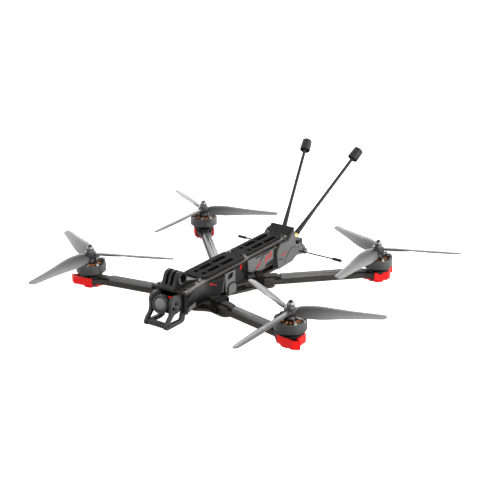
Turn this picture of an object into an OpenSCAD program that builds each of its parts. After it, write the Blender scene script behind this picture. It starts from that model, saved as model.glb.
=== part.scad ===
// FPV racing drone: carbon frame, four outrunner motors with three-blade propellers,
// a tilting nose camera, side covers, electronics bay and two long video antennas.
// X runs to the drone's left, -Y is the nose, Z is up.
// The origin is on the underside of the bottom plate, midway between the four motors.

/* [Layout] */
// Sideways distance of each front motor from the centre line
front_motor_x = 134; // [130:1:140]
// Distance of the front motors ahead of the origin
front_motor_y = 100; // [98:1:102]
// Sideways distance of each rear motor from the centre line
rear_motor_x = 125; // [121:1:130]
// Distance of the rear motors behind the origin
rear_motor_y = 100; // [98:1:104]
// Angle of the front arms to the X axis
front_arm_angle = 11.1; // [10:0.1:12]
// Angle of the rear arms to the X axis
rear_arm_angle = 45.5; // [45:0.1:46]

/* [Frame plates] */
// Thickness of the bottom plate
bottom_t = 3; // [2.5:0.5:3]
// Thickness of the arms
arm_t = 6; // [5:0.5:6]
// Width of an arm between its root and its motor end
arm_w = 11.2; // [10:0.2:12]
// Thickness of the middle plate, which clamps the arm roots
mid_t = 2.5; // [2:0.5:2.5]
// Height of the electronics bay between the middle and top plates
bay_h = 20; // [19:0.5:20]
// Thickness of the top plate
top_t = 2.5; // [2:0.5:2.5]
// Thickness of the rubber battery pad
pad_t = 1.6; // [1:0.1:2]

/* [Motors] */
// Outer diameter of the motor bell
bell_d = 34; // [34:0.5:35]
// Height of the bell's cylindrical side
bell_h = 13; // [12:0.5:13]
// Height of the bell's open lower edge above the arm
bell_gap = 7; // [6.8:0.1:7.4]
// Diameter of the motor shaft
shaft_d = 5; // [4:0.5:5]
// Side of the square of motor mounting screws
motor_screw_square = 16; // [16:0.5:16.5]

/* [Propellers] */
// Diameter of the propeller
prop_d = 190.5; // [180:0.5:190.5]
// Height of the propeller hub
hub_h = 7; // [6.5:0.5:7]
// Diameter of the propeller hub
hub_d = 14; // [13:0.5:15]
// Angle of the first blade of every propeller at rest
blade_angle = 30; // [0:5:120]

/* [Guards] */
// Height of the soft guard's wall above its base
guard_h = 9; // [8:0.5:9]
// How far the guard's round foot reaches below its base
foot_h = 3.5; // [3:0.5:4]

/* [Camera] */
// Upward tilt of the camera at rest
camera_tilt = 16; // [10:1:18]
// Diameter of the lens ring
lens_d = 19.4; // [18:0.2:19.6]
// Bore of the action camera mount
ear_bore_d = 5.2; // [5:0.1:5.4]

/* [Antennas] */
// Elevation of the video antennas
antenna_elevation = 40.4; // [36:0.2:44]
// Outward splay of the video antennas
antenna_splay = 15.9; // [12:0.1:18]
// Length of a video antenna
antenna_l = 134.5; // [120:0.5:140]

/* [Hidden] */
$fn = 64;
arm_z = bottom_t;
mid_z = arm_z + arm_t;
bay_z = mid_z + mid_t;
top_z = bay_z + bay_h;
pad_z = top_z + top_t;
bell_z = mid_z + bell_gap;
bell_top = bell_z + bell_h;
hub_z = bell_top + 2.2;
nut_z = hub_z + hub_h;
shaft_top = nut_z + 8.1;
arm_half = arm_w / 2;
lobe_half = 8;
// Distances along the arm from the motor, towards the body
front_lobe = 86.6;
rear_lobe = 120.5;
front_root = 122;
rear_root = 156;
front_clip = 103;
rear_clip = 138.5;
front_root_screws = [93, 115];
rear_root_screws = [126, 148];
front_sleeve = [80, 26];
rear_sleeve = [114, 30];
screw_r = 1.5;
countersink_h = 1.2;
running_gap = 0.05;
stack_hole = 20;
stack_y = -42;
body_half = 16;
cheek_in = 11.5;
cheek_t = 3.5;
motor_base_r = 12.4;
pivot_y = -132;
pivot_z = 23.6;
lock_r = 5.8;
lock_turn = 27.4;
lock_slot_turn = lock_turn + 7.5;
camera_half = 9.5;
ear_half = 9.1;
ear_y = -115;
ear_z = 45;
ear_slot = 3.2;
ear_t = 3.2;
antenna_base = [9.6, 108.5, 28];
stator_slots = 12;
blade_count = 3;

// Outline of the soft guard, seen from above, with X outward along the arm
guard_outline = [[-6.5, 12.4], [15.5, 13.5], [21.5, 8], [15.7, 4.5], [13, -9.3], [9, -12], [-6.5, -12.4]];
// Outline of the arm's motor end, which the guard's wall fits round
arm_end_outline = [[-17, arm_half], [-6.5, 10.5], [14.8, 11.6], [18.6, 8.1], [13.8, 5.2], [11.3, -8.4],
    [8.3, -10.2], [-6.5, -10.5], [-17, -arm_half]];
// Nose of the middle plate, left half, with the slot for the cage frame and the ear for the standoff
mid_nose_outline = [[0, -119], [11.4, -119], [11.4, -113], [15.1, -113], [15.1, -122], [16.5, -123.6],
    [19, -123.6], [20.3, -122], [20.3, -119], [18, -116.5], [18, -112], [16, -110], [16, -80], [0, -80]];
// Places of the screws that join the top plate to the standoffs, left side
standoff_places = [[17.7, -121], [10.3, -87.6], [10.3, -3.5], [12.3, 76.8]];
// Radius and chord of the propeller blade along its length
blade_chords = [[5.5, 12], [9, 15], [13, 16.6], [22, 17.6], [31, 18], [45, 16.4], [60, 13.8], [75, 11.6],
    [85, 10.2], [92, 8.6], [95, 5]];
// Radius and pitch angle of the blade
blade_pitches = [[5.5, 24], [20, 27], [31, 25], [45, 18.5], [60, 14], [75, 11], [95, 9]];
// Radius and thickness of the blade
blade_depths = [[5.5, 4.2], [20, 3.9], [45, 3.1], [75, 2.4], [95, 1.6]];
// How far the blade's tip droops below its root
blade_droop = 2;
blade_steps = 18;
section_steps = 6;

// ---- shared shapes ----

// Extrudes a side outline of [y, z] points along X from x = 0
module side_extrude(points, t) {
    rotate([90, 0, 90]) linear_extrude(t) polygon(points);
}

// A half outline's points on the other side of the centre line, last first, without its two ends
function mirrored(points) = [for (i = [len(points) - 2:-1:1]) [-points[i][0], points[i][1]]];

module both_sides() {
    children();
    mirror([1, 0, 0]) children();
}

// Puts its children at a motor, with +X outward along the arm and +Y on the arm's longer lobe
module at_motor(front, left) {
    mirror([left ? 0 : 1, 0, 0])
        translate([front ? front_motor_x : rear_motor_x, front ? -front_motor_y : rear_motor_y, 0])
            rotate([0, 0, front ? -front_arm_angle : rear_arm_angle])
                mirror([0, front ? 1 : 0, 0])
                    children();
}

// Puts its children at a motor without turning them along the arm
module at_axis(front, left) {
    mirror([left ? 0 : 1, 0, 0])
        translate([front ? front_motor_x : rear_motor_x, front ? -front_motor_y : rear_motor_y, 0])
            children();
}

module at_all_motors() {
    for (left = [true, false]) {
        at_motor(true, left) children(0);
        at_motor(false, left) children(1);
    }
}

// A rectangle with fully round ends, centred, with its length along X
module slot_shape(l, w) {
    square([l - w, w], center = true);
    for (s = [-1, 1]) translate([s * (l - w) / 2, 0]) circle(d = w);
}

module rounded_square(w, h, r) {
    square([w - 2 * r, h], center = true);
    square([w, h - 2 * r], center = true);
    for (sx = [-1, 1]) for (sy = [-1, 1])
        translate([sx * (w / 2 - r), sy * (h / 2 - r)]) circle(r);
}

module button_head(r, h) {
    difference() {
        cylinder(h = h, r1 = r, r2 = r * 0.72);
        translate([0, 0, h * 0.45]) cylinder(h = h, r = r * 0.38, $fn = 6);
    }
}

// ---- carbon plates and arms ----

// Lobe of a clamping plate over one arm root, in the arm's own directions
module root_lobe(end, root) {
    translate([-root, -lobe_half]) square([root - end - lobe_half, lobe_half * 2]);
    translate([-end - lobe_half, 0]) circle(lobe_half);
}

module clamp_outline() {
    for (left = [0, 1]) mirror([left, 0]) {
        translate([front_motor_x, -front_motor_y]) rotate(-front_arm_angle) root_lobe(front_lobe, front_root);
        translate([rear_motor_x, rear_motor_y]) rotate(rear_arm_angle) root_lobe(rear_lobe, rear_root);
        translate([0, -88.4]) square([body_half, 88.4 + 62]);
        polygon([[0, -94], [9, -94], [18.6, -88.4], [26, -86.5], [26, -70], [16, -58], [0, -58]]);
        polygon([[10, -42], [16, -38.5], [18.9, -33], [26.5, -17], [28.5, -10.4], [10, -10]]);
    }
}

// Puts a child at each arm root screw
module at_root_screws() {
    for (left = [true, false]) {
        for (along = front_root_screws) at_motor(true, left) translate([-along, 0, 0]) children();
        for (along = rear_root_screws) at_motor(false, left) translate([-along, 0, 0]) children();
    }
}

module standoff_holes(r, h) {
    both_sides() for (p = standoff_places) translate([p[0], p[1], 0]) cylinder(h = h, r = r);
}

module stack_holes(r, h) {
    for (sx = [-1, 1]) for (sy = [-1, 1])
        translate([sx * stack_hole / 2, stack_y + sy * stack_hole / 2, 0]) cylinder(h = h, r = r);
}

module bottom_plate() {
    color("#5a5650") difference() {
        linear_extrude(bottom_t) difference() {
            union() {
                clamp_outline();
                translate([-10, 0]) square([20, 90]);
            }
            translate([0, 30]) rotate(90) slot_shape(36, 9);
            translate([0, 78]) circle(6);
            translate([0, -74]) rotate(90) slot_shape(20, 9);
        }
        translate([0, 0, -1]) at_root_screws() cylinder(h = bottom_t + 2, r = screw_r + 0.1);
        at_root_screws() cylinder(h = countersink_h, r1 = 2.9, r2 = screw_r + 0.1);
    }
}

module mid_plate() {
    color("#5a5650") translate([0, 0, mid_z]) difference() {
        linear_extrude(mid_t) difference() {
            union() {
                clamp_outline();
                translate([-body_half, -88]) square([2 * body_half, 180]);
                polygon(concat(mid_nose_outline, mirrored(mid_nose_outline)));
            }
            translate([0, 30]) rotate(90) slot_shape(30, 9);
            translate([0, -74]) rotate(90) slot_shape(16, 9);
        }
        translate([0, 0, -1]) at_root_screws() cylinder(h = mid_t + 2, r = screw_r + 0.1);
        translate([0, 0, -1]) standoff_holes(screw_r + 0.1, mid_t + 2);
        translate([0, 0, -1]) stack_holes(screw_r + 0.1, mid_t + 2);
    }
}

module arm(front) {
    root = front ? front_root : rear_root;
    color("#6b665f") translate([0, 0, arm_z]) difference() {
        linear_extrude(arm_t) polygon(concat(arm_end_outline, [[-root, -arm_half], [-root, arm_half]]));
        translate([0, 0, -1]) cylinder(h = arm_t + 2, r = 4);
        for (sx = [-1, 1]) for (sy = [-1, 1])
            translate([sx * motor_screw_square / 2, sy * motor_screw_square / 2, -1])
                cylinder(h = arm_t + 2, r = screw_r + 0.1);
        for (along = front ? front_root_screws : rear_root_screws)
            translate([-along, 0, -1]) cylinder(h = arm_t + 2, r = screw_r + 0.1);
    }
}

// Outline of the top plate, left half from the nose to the tail
top_outline = [[0, -124], [21, -124], [22, -122.5], [19.7, -98], [17.5, -78], [17.5, -12], [15.6, 3],
    [15.6, 81], [13.6, 84], [0, 84]];
strap_slots = [[5.5, -55, 21], [5.8, -30.5, 23], [5.5, 30, 21], [5.8, 54.5, 23]];

module slot_pattern() {
    for (s = strap_slots) translate([s[0], s[1]]) rotate(90) slot_shape(s[2], 5.8);
    for (y = [-72, 13.4]) translate([5.5, y]) rotate(90) slot_shape(6.6, 5.2);
}

module top_plate() {
    color("#77726a") translate([0, 0, top_z]) difference() {
        linear_extrude(top_t) both_sides() difference() {
            polygon(top_outline);
            slot_pattern();
            translate([14, -105]) rotate(84) slot_shape(13, 3);
        }
        translate([0, 0, -1]) standoff_holes(screw_r + 0.1, top_t + 2);
        for (sx = [-1, 1]) translate([sx * 4.5, -99, -1]) cylinder(h = top_t + 2, r = screw_r + 0.1);
    }
}

pad_outline = [[0, -85], [8.5, -84.2], [14.6, -79.5], [15, -77.5], [15, -10], [13.8, -7.6], [7.2, -7.6],
    [7.2, 0.6], [10.6, 0.6], [12.4, 3], [12.4, 67], [10, 73], [7, 77.5], [0, 78]];

module battery_pad() {
    color("#3a3a3a") translate([0, 0, pad_z])
        linear_extrude(pad_t) both_sides() difference() {
            polygon(pad_outline);
            slot_pattern();
        }
}

module standoffs() {
    color("#8e9196") both_sides() for (p = standoff_places) translate([p[0], p[1], bay_z]) difference() {
        cylinder(h = bay_h, r = 2.5);
        translate([0, 0, -1]) cylinder(h = bay_h + 2, r = 1.3);
    }
}

// Button-head screws in the top plate and countersunk screws through the arm roots
module frame_screws() {
    color("#c4c7cb") {
        both_sides() for (p = standoff_places) {
            translate([p[0], p[1], top_z - 6]) cylinder(h = top_t + 6, r = 1.3);
            translate([p[0], p[1], pad_z]) button_head(2.8, 1.9);
        }
        at_root_screws() {
            cylinder(h = countersink_h, r1 = 2.8, r2 = screw_r);
            cylinder(h = bay_z, r = screw_r);
        }
    }
}

// ---- guards, sleeves, leads and clips on the arms ----

module guard() {
    color("#e0201f") translate([0, 0, arm_z - 1]) difference() {
        union() {
            linear_extrude(guard_h) polygon(guard_outline);
            linear_extrude(1) polygon([[-17, 5], [-6.5, 12.4], [-6.5, -12.4], [-17, -5]]);
            translate([0, 0, -foot_h]) cylinder(h = foot_h, r1 = 10.2, r2 = 11);
        }
        translate([0, 0, 1]) linear_extrude(guard_h) polygon(arm_end_outline);
        translate([0, 0, mid_z - arm_z + 1]) cylinder(h = guard_h, r = motor_base_r + 0.2);
        translate([0, 0, -foot_h - 1]) cylinder(h = foot_h + 4, r = 4);
        for (sx = [-1, 1]) for (sy = [-1, 1])
            translate([sx * motor_screw_square / 2, sy * motor_screw_square / 2, -foot_h - 1])
                cylinder(h = foot_h + 3, r = 2.9);
    }
}

module motor_screw_set() {
    for (sx = [-1, 1]) for (sy = [-1, 1])
        translate([sx * motor_screw_square / 2, sy * motor_screw_square / 2, 0]) {
            translate([0, 0, arm_z]) cylinder(h = arm_t, r = 1.5);
            translate([0, 0, arm_z - 2.2]) cylinder(h = 2.2, r = 2.7);
        }
}

module motor_screws() {
    color("#b9bcc0") at_all_motors() {
        motor_screw_set();
        motor_screw_set();
    }
}

sleeve_w = 10;
sleeve_h = 4.4;
lead_w = 2.6;
lead_h = 2.2;
lead_count = 3;

// Half-round braided cover over the motor leads
module sleeve(ends) {
    color("#4c4c4e") translate([0, 0, mid_z]) rotate([90, 0, 90]) translate([0, 0, -ends[0]])
        linear_extrude(ends[0] - ends[1]) difference() {
            union() {
                translate([-sleeve_w / 2, 0]) square([sleeve_w, sleeve_h / 2]);
                translate([0, sleeve_h / 2]) rounded_square(sleeve_w, sleeve_h, 2.1);
            }
            translate([-sleeve_w / 2 + 1, -1]) square([sleeve_w - 2, 1 + 3.2]);
        }
}

module wire_sleeves() {
    at_all_motors() {
        sleeve(front_sleeve);
        sleeve(rear_sleeve);
    }
}

// Flat lead swept through [x, z] points, with a rectangular section
module lead(route) {
    rotate([90, 0, 0]) translate([0, 0, -lead_w / 2]) linear_extrude(lead_w - 0.1)
        polygon(concat(
            [for (p = route) [p[0], p[1]]],
            [for (i = [len(route) - 1:-1:0]) [route[i][0], route[i][1] + lead_h]]));
}

// The lead climbs from the arm onto the lobe of the middle plate just before the lobe's end
function lead_route(lobe, root) = [
    [-13, mid_z + 0.4], [-lobe + 7.5, mid_z + 0.4], [-lobe + 0.8, bay_z + 0.3], [-root, bay_z + 0.3]];

module motor_leads() {
    color("#26262a") at_all_motors() {
        for (i = [-1:1]) translate([0, i * lead_w, 0]) lead(lead_route(front_lobe, front_root + 3));
        for (i = [-1:1]) translate([0, i * lead_w, 0]) lead(lead_route(rear_lobe, rear_root - 4));
    }
}

// Clip that wraps the plates at an arm root and holds the leads down
module arm_clip() {
    translate([-4.2, 0, 0]) rotate([90, 0, 90]) linear_extrude(8.4) difference() {
        translate([-lobe_half - 1.5, 0.8]) square([2 * lobe_half + 3, bay_z + 3.4]);
        translate([-lobe_half, 0]) square([2 * lobe_half, bay_z + 2.8]);
    }
}

module arm_clips() {
    color("#57585a") at_all_motors() {
        translate([-front_clip, 0, 0]) arm_clip();
        translate([-rear_clip, 0, 0]) arm_clip();
    }
}

// ---- motors and propellers ----

module stator(front, left) {
    at_axis(front, left) color("#b06a3a") difference() {
        union() {
            translate([0, 0, mid_z]) difference() {
                cylinder(h = 2.6, r = motor_base_r);
                for (i = [0:3]) rotate(i * 90 + 45) translate([9.6, 0, -1]) cylinder(h = 5, r = 1.6);
            }
            translate([0, 0, mid_z]) cylinder(h = bell_top - mid_z - 2.2, r = 4.6);
            translate([0, 0, bell_z + 0.5]) cylinder(h = 10, r = 9.4);
            translate([0, 0, bell_z + 0.5]) for (i = [0:stator_slots - 1])
                rotate(i * 360 / stator_slots) {
                    translate([8.5, -2.1, 0]) cube([4.7, 4.2, 10]);
                    translate([13, -2.9, 1.5]) cube([1.1, 5.8, 7]);
                }
        }
        translate([0, 0, mid_z - 1]) cylinder(h = bell_h + bell_gap + 5, r = shaft_d / 2 + running_gap);
    }
}

module bell(front, left) {
    at_axis(front, left) color("#4f5052") {
        rotate_extrude() polygon([[15, bell_z], [bell_d / 2 - 0.4, bell_z], [bell_d / 2, bell_z + 0.4],
            [bell_d / 2, bell_top - 1.6], [bell_d / 2 - 0.6, bell_top - 0.5],
            [bell_d / 2 - 1.8, bell_top + 0.3], [14.2, bell_top + 0.6], [14.2, bell_top - 1.4],
            [15, bell_top - 2]]);
        for (i = [0:8]) rotate(i * 40) translate([6.6, -1.3, bell_top - 1.1]) cube([8.4, 2.6, 1.6]);
        translate([0, 0, bell_top - 1.4]) cylinder(h = hub_z - bell_top + 1.4, r = 7.2);
        translate([0, 0, mid_z + 0.7]) cylinder(h = shaft_top - mid_z - 0.7, r = shaft_d / 2);
    }
}

function blade_chord(r) = lookup(r, blade_chords);
function blade_pitch(r) = lookup(r, blade_pitches);
function blade_depth(r) = lookup(r, blade_depths);
// Radius of each station, closer together near the root and the tip
function station(i) = 5.5 + (prop_d / 2 - 5.7) * (1 - cos(180 * i / blade_steps)) / 2;
// Leading share of the chord grows towards the tip, which sweeps the tip back
function sweep(r) = 0.5 - 0.16 * pow(r / (prop_d / 2), 2);

function droop(r) = blade_droop * pow(r / (prop_d / 2), 1.5);

// Closed section of the blade at radius r, as points across the chord, upper side then lower side
function section(r) = let (c = blade_chord(r), p = blade_pitch(r), t = blade_depth(r)) concat(
    [for (j = [0:section_steps]) let (u = j / section_steps, x = (u - sweep(r)) * c,
        y = t * (0.12 + 0.88 * sin(180 * pow(u, 0.75))) / 2 + c * 0.05 * sin(180 * u))
        [r, x * cos(p) + y * sin(p), y * cos(p) - x * sin(p) - droop(r)]],
    [for (j = [section_steps:-1:0]) let (u = j / section_steps, x = (u - sweep(r)) * c,
        y = c * 0.05 * sin(180 * u) - t * 0.12 / 2 - t * 0.2 * sin(180 * u))
        [r, x * cos(p) + y * sin(p), y * cos(p) - x * sin(p) - droop(r)]]);

module blade() {
    n = 2 * (section_steps + 1);
    rings = [for (i = [0:blade_steps]) section(station(i))];
    points = [for (ring = rings) for (p = ring) p];
    faces = concat(
        [[for (j = [n - 1:-1:0]) j]],
        [for (i = [0:blade_steps - 1]) for (j = [0:n - 1]) let (k = (j + 1) % n)
            [i * n + j, (i + 1) * n + k, (i + 1) * n + j]],
        [for (i = [0:blade_steps - 1]) for (j = [0:n - 1]) let (k = (j + 1) % n)
            [i * n + j, i * n + k, (i + 1) * n + k]],
        [[for (j = [0:n - 1]) blade_steps * n + j]]);
    polyhedron(points, faces);
}

// The front left and rear right propellers turn counter-clockwise seen from above, the others clockwise
module propeller(front, left) {
    color("#3b3b3d") at_axis(front, left) translate([0, 0, hub_z]) {
        difference() {
            union() {
                cylinder(h = hub_h, r = hub_d / 2);
                for (i = [0:blade_count - 1])
                    rotate(blade_angle + i * 360 / blade_count)
                        mirror([0, front ? 1 : 0, 0]) translate([0, 0, hub_h / 2 - 0.4]) blade();
            }
            translate([0, 0, -1]) cylinder(h = hub_h + 2, r = shaft_d / 2 + running_gap);
        }
    }
}

module nut(front, left) {
    color("#c9ccd0") at_axis(front, left) translate([0, 0, nut_z]) difference() {
        union() {
            cylinder(h = 1.3, r = 5.2);
            translate([0, 0, 1.3]) cylinder(h = 3.4, r = 4.6, $fn = 6);
            translate([0, 0, 4.7]) cylinder(h = 2, r1 = 4, r2 = 3.1);
        }
        translate([0, 0, -1]) cylinder(h = 9, r = shaft_d / 2 + running_gap);
    }
}

// ---- nose cage, camera and action camera mount ----

// Side outline of one nose frame: post, foot, bottom rail and rear strut around an open middle
cage_outline = [[-135.5, top_z], [-138.5, 30.6], [-140.4, 27], [-140.7, 16.5], [-142, 12.5], [-147.5, 7.5],
    [-150, 3.5], [-149.5, 0.2], [-147, -1], [-123.5, -1.3], [-119.5, 0], [-116.8, 8.5], [-114.3, 12.2],
    [-112.5, top_z]];
cage_opening = [[-135.5, 12.2], [-139, 9.5], [-143.3, 5.2], [-141.5, 4], [-125.6, 3], [-124.3, 5],
    [-121.5, 15], [-124, 19], [-128, 13]];

module cage_frame() {
    color("#6e6f71") translate([cheek_in, 0, 0]) difference() {
        side_extrude(cage_outline, cheek_t);
        translate([-1, 0, 0]) side_extrude(cage_opening, cheek_t + 2);
        rotate([0, 90, 0]) translate([-pivot_z, pivot_y, -1]) cylinder(h = cheek_t + 2, r = 8.4);
        translate([-1, -146.5, 3.6]) rotate([0, 90, 0]) cylinder(h = cheek_t + 2, r = 1.3);
    }
}

module cage_bar() {
    color("#6e6f71") translate([-cheek_in, -149, 0.6]) cube([2 * cheek_in, 4.6, 5.2]);
}

// Round plates in the nose frames that carry the camera's pivot and lock screws
module camera_cheeks() {
    color("#8a8b8c") both_sides() translate([cheek_in, pivot_y, pivot_z]) rotate([90, 0, 90]) difference() {
        cylinder(h = 3, r = 8.4);
        translate([0, 0, -1]) cylinder(h = 5, r = 1 + running_gap);
        rotate(-lock_slot_turn) translate([0, -lock_r, -1]) linear_extrude(5) slot_shape(6.4, 2.9);
    }
}

// Puts its children at the camera's pivot, with -Y along the lens axis
module at_camera() {
    translate([0, pivot_y, pivot_z]) rotate([-camera_tilt, 0, 0]) children();
}

module camera_housing() {
    color("#2e2e30") at_camera() difference() {
        union() {
            translate([-camera_half, -3.5, -11.4]) cube([2 * camera_half, 15, 16]);
            translate([0, -3.5, -3.4]) rotate([90, 0, 0]) cylinder(h = 1.2, r = 8.2);
        }
        for (sx = [-1, 1]) translate([sx * camera_half, 0, 0]) rotate([0, 90, 0])
            cylinder(h = 6, r = 1, center = true);
    }
}

module camera_lens() {
    color("#58595b") at_camera() translate([0, -4.7, -3.4]) rotate([90, 0, 0]) rotate_extrude()
        polygon([[0, 0], [8.2, 0], [8.2, 0.6], [lens_d / 2, 1], [lens_d / 2, 3.8], [lens_d / 2 - 0.8, 4.4],
            [7.2, 4.4], [7.2, 3.2], [0, 3.2]]);
}

module lens_glass() {
    color("#20242c") at_camera() translate([0, -4.7 - 3.2, -3.4]) rotate([90, 0, 0]) rotate_extrude()
        polygon([[0, 0], [7.1, 0], [7.1, 0.5], [5, 1.1], [2.5, 1.4], [0, 1.5]]);
}

// The pivot screw and the lock screw on each side, which turn with the camera
module camera_screws() {
    color("#1e1e20") both_sides() {
        translate([camera_half - 3, pivot_y, pivot_z]) rotate([0, 90, 0]) {
            cylinder(h = cheek_in + 6.1 - camera_half, r = 1);
            translate([0, 0, cheek_in + 6.1 - camera_half]) cylinder(h = 1.2, r = 1.9);
        }
        translate([camera_half, pivot_y - lock_r * sin(lock_turn), pivot_z - lock_r * cos(lock_turn)])
            rotate([0, 90, 0]) {
                cylinder(h = cheek_in + 3.1 - camera_half, r = 1);
                translate([0, 0, cheek_in + 3.1 - camera_half]) cylinder(h = 1.2, r = 1.9);
            }
    }
}

ear_outline = [[-129, pad_z], [-127.6, pad_z + 3], [-124, ear_z - 1], [-122.5, ear_z + 3.5],
    [-119, ear_z + 6.8], [-114.5, ear_z + 7.5], [-110.5, ear_z + 6], [-108, ear_z + 2.5], [-107.2, ear_z - 2],
    [-107, pad_z]];
ramp_outline = [[-129, pad_z], [-129, pad_z + 2.4], [-112, pad_z + 3.4], [-105, pad_z + 5.5],
    [-90, pad_z + 1.6], [-88.5, pad_z]];

module action_camera_mount() {
    color("#626365") difference() {
        union() {
            translate([-ear_half, 0, 0]) side_extrude(ear_outline, 2 * ear_half);
            translate([-ear_half, 0, 0]) side_extrude(ramp_outline, 2 * ear_half);
            translate([ear_half, ear_y, ear_z]) rotate([0, 90, 0]) cylinder(h = 1.6, r = 6.6);
        }
        for (sx = [-1, 1])
            translate([sx * (ear_t + ear_slot) / 2 - ear_slot / 2, -135, pad_z + 5]) cube([ear_slot, 40, 30]);
        for (sx = [-1, 1]) translate([sx * 10.3, -87.6, pad_z - 1]) cylinder(h = 8, r = 3.1);
        translate([-ear_half - 1, ear_y, ear_z]) rotate([0, 90, 0])
            cylinder(h = 2 * ear_half + 4, r = ear_bore_d / 2);
        translate([ear_half - 1, ear_y, ear_z]) rotate([0, 90, 0]) cylinder(h = 4, r = 4.6, $fn = 6);
    }
}

// ---- covers ----

nose_outline = [[-119, 12.2], [-119, 24], [-112, 28], [-104, top_z - 0.3], [-70, top_z - 0.3], [-79, 17],
    [-81, 12.2]];
flank_outline = [[-79.5, 16.5], [-71, 30.5], [-52, 28], [-51, 24], [-54.5, 9.5], [-79, 12.2]];
port_outline = [[-51.5, 30.8], [-32.5, 30], [-32.5, 4], [-38, 3.2], [-46, 4], [-50, 9]];
port_window = [[-46.5, 28], [-37.5, 28.6], [-36.6, 26], [-38.8, 22.8], [-46, 21.8]];
mid_outline = [[-32, 30.2], [-22.5, 29], [-21.8, 25], [-10.5, 12.4], [-20, 12.2], [-31.5, 12.2]];
flat_outline = [[-6.5, 31.2], [5, 31.2], [22, 30.5], [45, 29.5], [44.5, 11], [8, 12.2], [-5.5, 17.5]];
tail_outline = [[60, 31.2], [53.4, 25], [53, 21], [54, 11], [56, 0], [88, 1], [90, 3], [99, 5.5], [101, 8.5],
    [97.4, 16.5], [90.5, 27], [92.5, 31.5], [91, 37.4], [86, 37.5], [82, 35], [78, 31.2]];
front_back_outline = [[-119, 12.2], [-119, 22], [-104, 30.5], [-8, 30.5], [-8, 12.2]];
rear_back_outline = [[-7, 12.2], [-7, 30.8], [58, 30.8], [58, 12.2]];
// Light wedge at the foot of the nose side
wedge_outline = [[-118.6, 12.2], [-117, 15.3], [-106, 17.2], [-106, 12.2]];

module raised(points, x, t) {
    translate([x, 0, 0]) side_extrude(points, t);
}

// Printed side cover ahead of the middle screws
module front_cover() {
    color("#6d6e70") difference() {
        union() {
            raised(front_back_outline, body_half, 0.9);
            raised(nose_outline, body_half + 0.9, 2.2);
            raised(flank_outline, body_half + 0.9, 1.2);
            raised(port_outline, body_half + 0.9, 2);
            raised(wedge_outline, body_half + 3.1, 0.8);
            raised(mid_outline, body_half + 0.9, 1.2);
            raised([[-46.5, 4.5], [-46.5, 13], [-43.5, 15.6], [-36, 15.6], [-32.8, 12], [-32.8, 4.5]],
                body_half + 2.9, 1.4);
        }
        translate([body_half - 1, 0, 0]) side_extrude(port_window, 8);
        translate([17.7, -121, bay_z - 1]) cylinder(h = bay_h + 2, r = 2.8);
        root_relief();
    }
}

// Room under a side cover for the middle plate's lobes and the leads that enter the bay
module root_relief() {
    gap_w = lead_count * lead_w + 1.2;
    translate([0, 0, mid_z - 0.1]) linear_extrude(mid_t + 0.2) clamp_outline();
    for (front = [true, false])
        at_motor(front, true) translate([front ? -front_root - 2 : -rear_root, -gap_w / 2, bay_z - 1])
            cube([30, gap_w, lead_h + 2.2]);
}

// Printed side cover behind the middle screws, with the tail side
module rear_cover() {
    color("#9a9b9c") difference() {
        union() {
            raised(rear_back_outline, body_half, 0.9);
            raised(flat_outline, body_half + 0.9, 1.2);
            raised(tail_outline, body_half + 0.9, 1.2);
            raised([[44.8, 29], [52.6, 28], [52.8, 3.5], [44.8, 6]], body_half + 0.9, 0.8);
        }
        root_relief();
    }
}

tail_top_outline = [[82.5, pad_z], [92, 42], [93.6, 40.6], [93.4, 36], [90, top_z + 0.1], [84.2, top_z + 0.1],
    [84.2, pad_z]];

// Sloping top of the tail with its ridges
module tail_cover() {
    color("#4a4b4d") translate([-15.8, 0, 0]) side_extrude(tail_top_outline, 31.6);
    color("#4a4b4d") for (x = [-12, -6, 0, 6, 12]) translate([x - 0.5, 0, 0])
        side_extrude([[83.4, pad_z + 0.75], [82.9, pad_z + 1.1], [91.2, 42.1], [91.6, 41.7]], 1);
}

module at_antenna() {
    translate(antenna_base) rotate([0, 0, -antenna_splay]) rotate([antenna_elevation - 90, 0, 0]) children();
}

tail_wall_outline = [[86, 3], [86, 5], [92, 8], [94, 16], [87.5, 27], [89.5, 31.2], [92.4, 31.2], [90.4, 27],
    [97.3, 16.5], [100.5, 8.5], [98.8, 5.5], [90, 3]];
tray_cheek_outline = [[96, 5], [96, 16.5], [112, 16], [119.5, 9], [119.5, 3], [116, 1.2], [106, 2.6]];
wire_y = 105.9;
wire_z = 7.5;
wire_r = 0.9;

// Rear wall that closes the tail, carries the antenna connectors and holds the tray behind it
module antenna_bracket() {
    color("#9a9b9c") difference() {
        union() {
            translate([-body_half - 0.8, 0, 0]) side_extrude(tail_wall_outline, 2 * body_half + 1.6);
            both_sides() intersection() {
                at_antenna() translate([0, 0, -17]) cylinder(h = 12, r = 5);
                translate([-30, 90.5, 0]) cube([60, 40, 60]);
            }
            both_sides() raised(tray_cheek_outline, 13.4, 2.6);
            both_sides() translate([13.4, 116.5, 4.4]) rotate([0, 90, 0]) cylinder(h = 4.8, r = 3.8);
            translate([-13.5, 98, 9.6]) cube([27, 20, 2.4]);
        }
        both_sides() at_antenna() translate([0, 0, -30]) cylinder(h = 40, r = 3.2);
        translate([-20, wire_y, wire_z]) rotate([0, 90, 0]) cylinder(h = 40, r = wire_r + 0.1);
        for (p = [[102.5, 12.5], [110.8, 12.8]])
            translate([-20, p[0], p[1] + 0.8]) rotate([0, 90, 0]) cylinder(h = 40, r = 1.3);
    }
}

module antenna_connector() {
    at_antenna() difference() {
        union() {
            translate([0, 0, -16]) cylinder(h = 12, r = 3.1);
            translate([0, 0, -4.9]) cylinder(h = 2.2, r = 4.4, $fn = 6);
            translate([0, 0, -2.7]) cylinder(h = 2.7, r = 2.9);
        }
        translate([0, 0, -17]) cylinder(h = 4, r = 1.6);
    }
}

module antenna_connectors() {
    color("#c9b26a") both_sides() antenna_connector();
}

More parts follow.
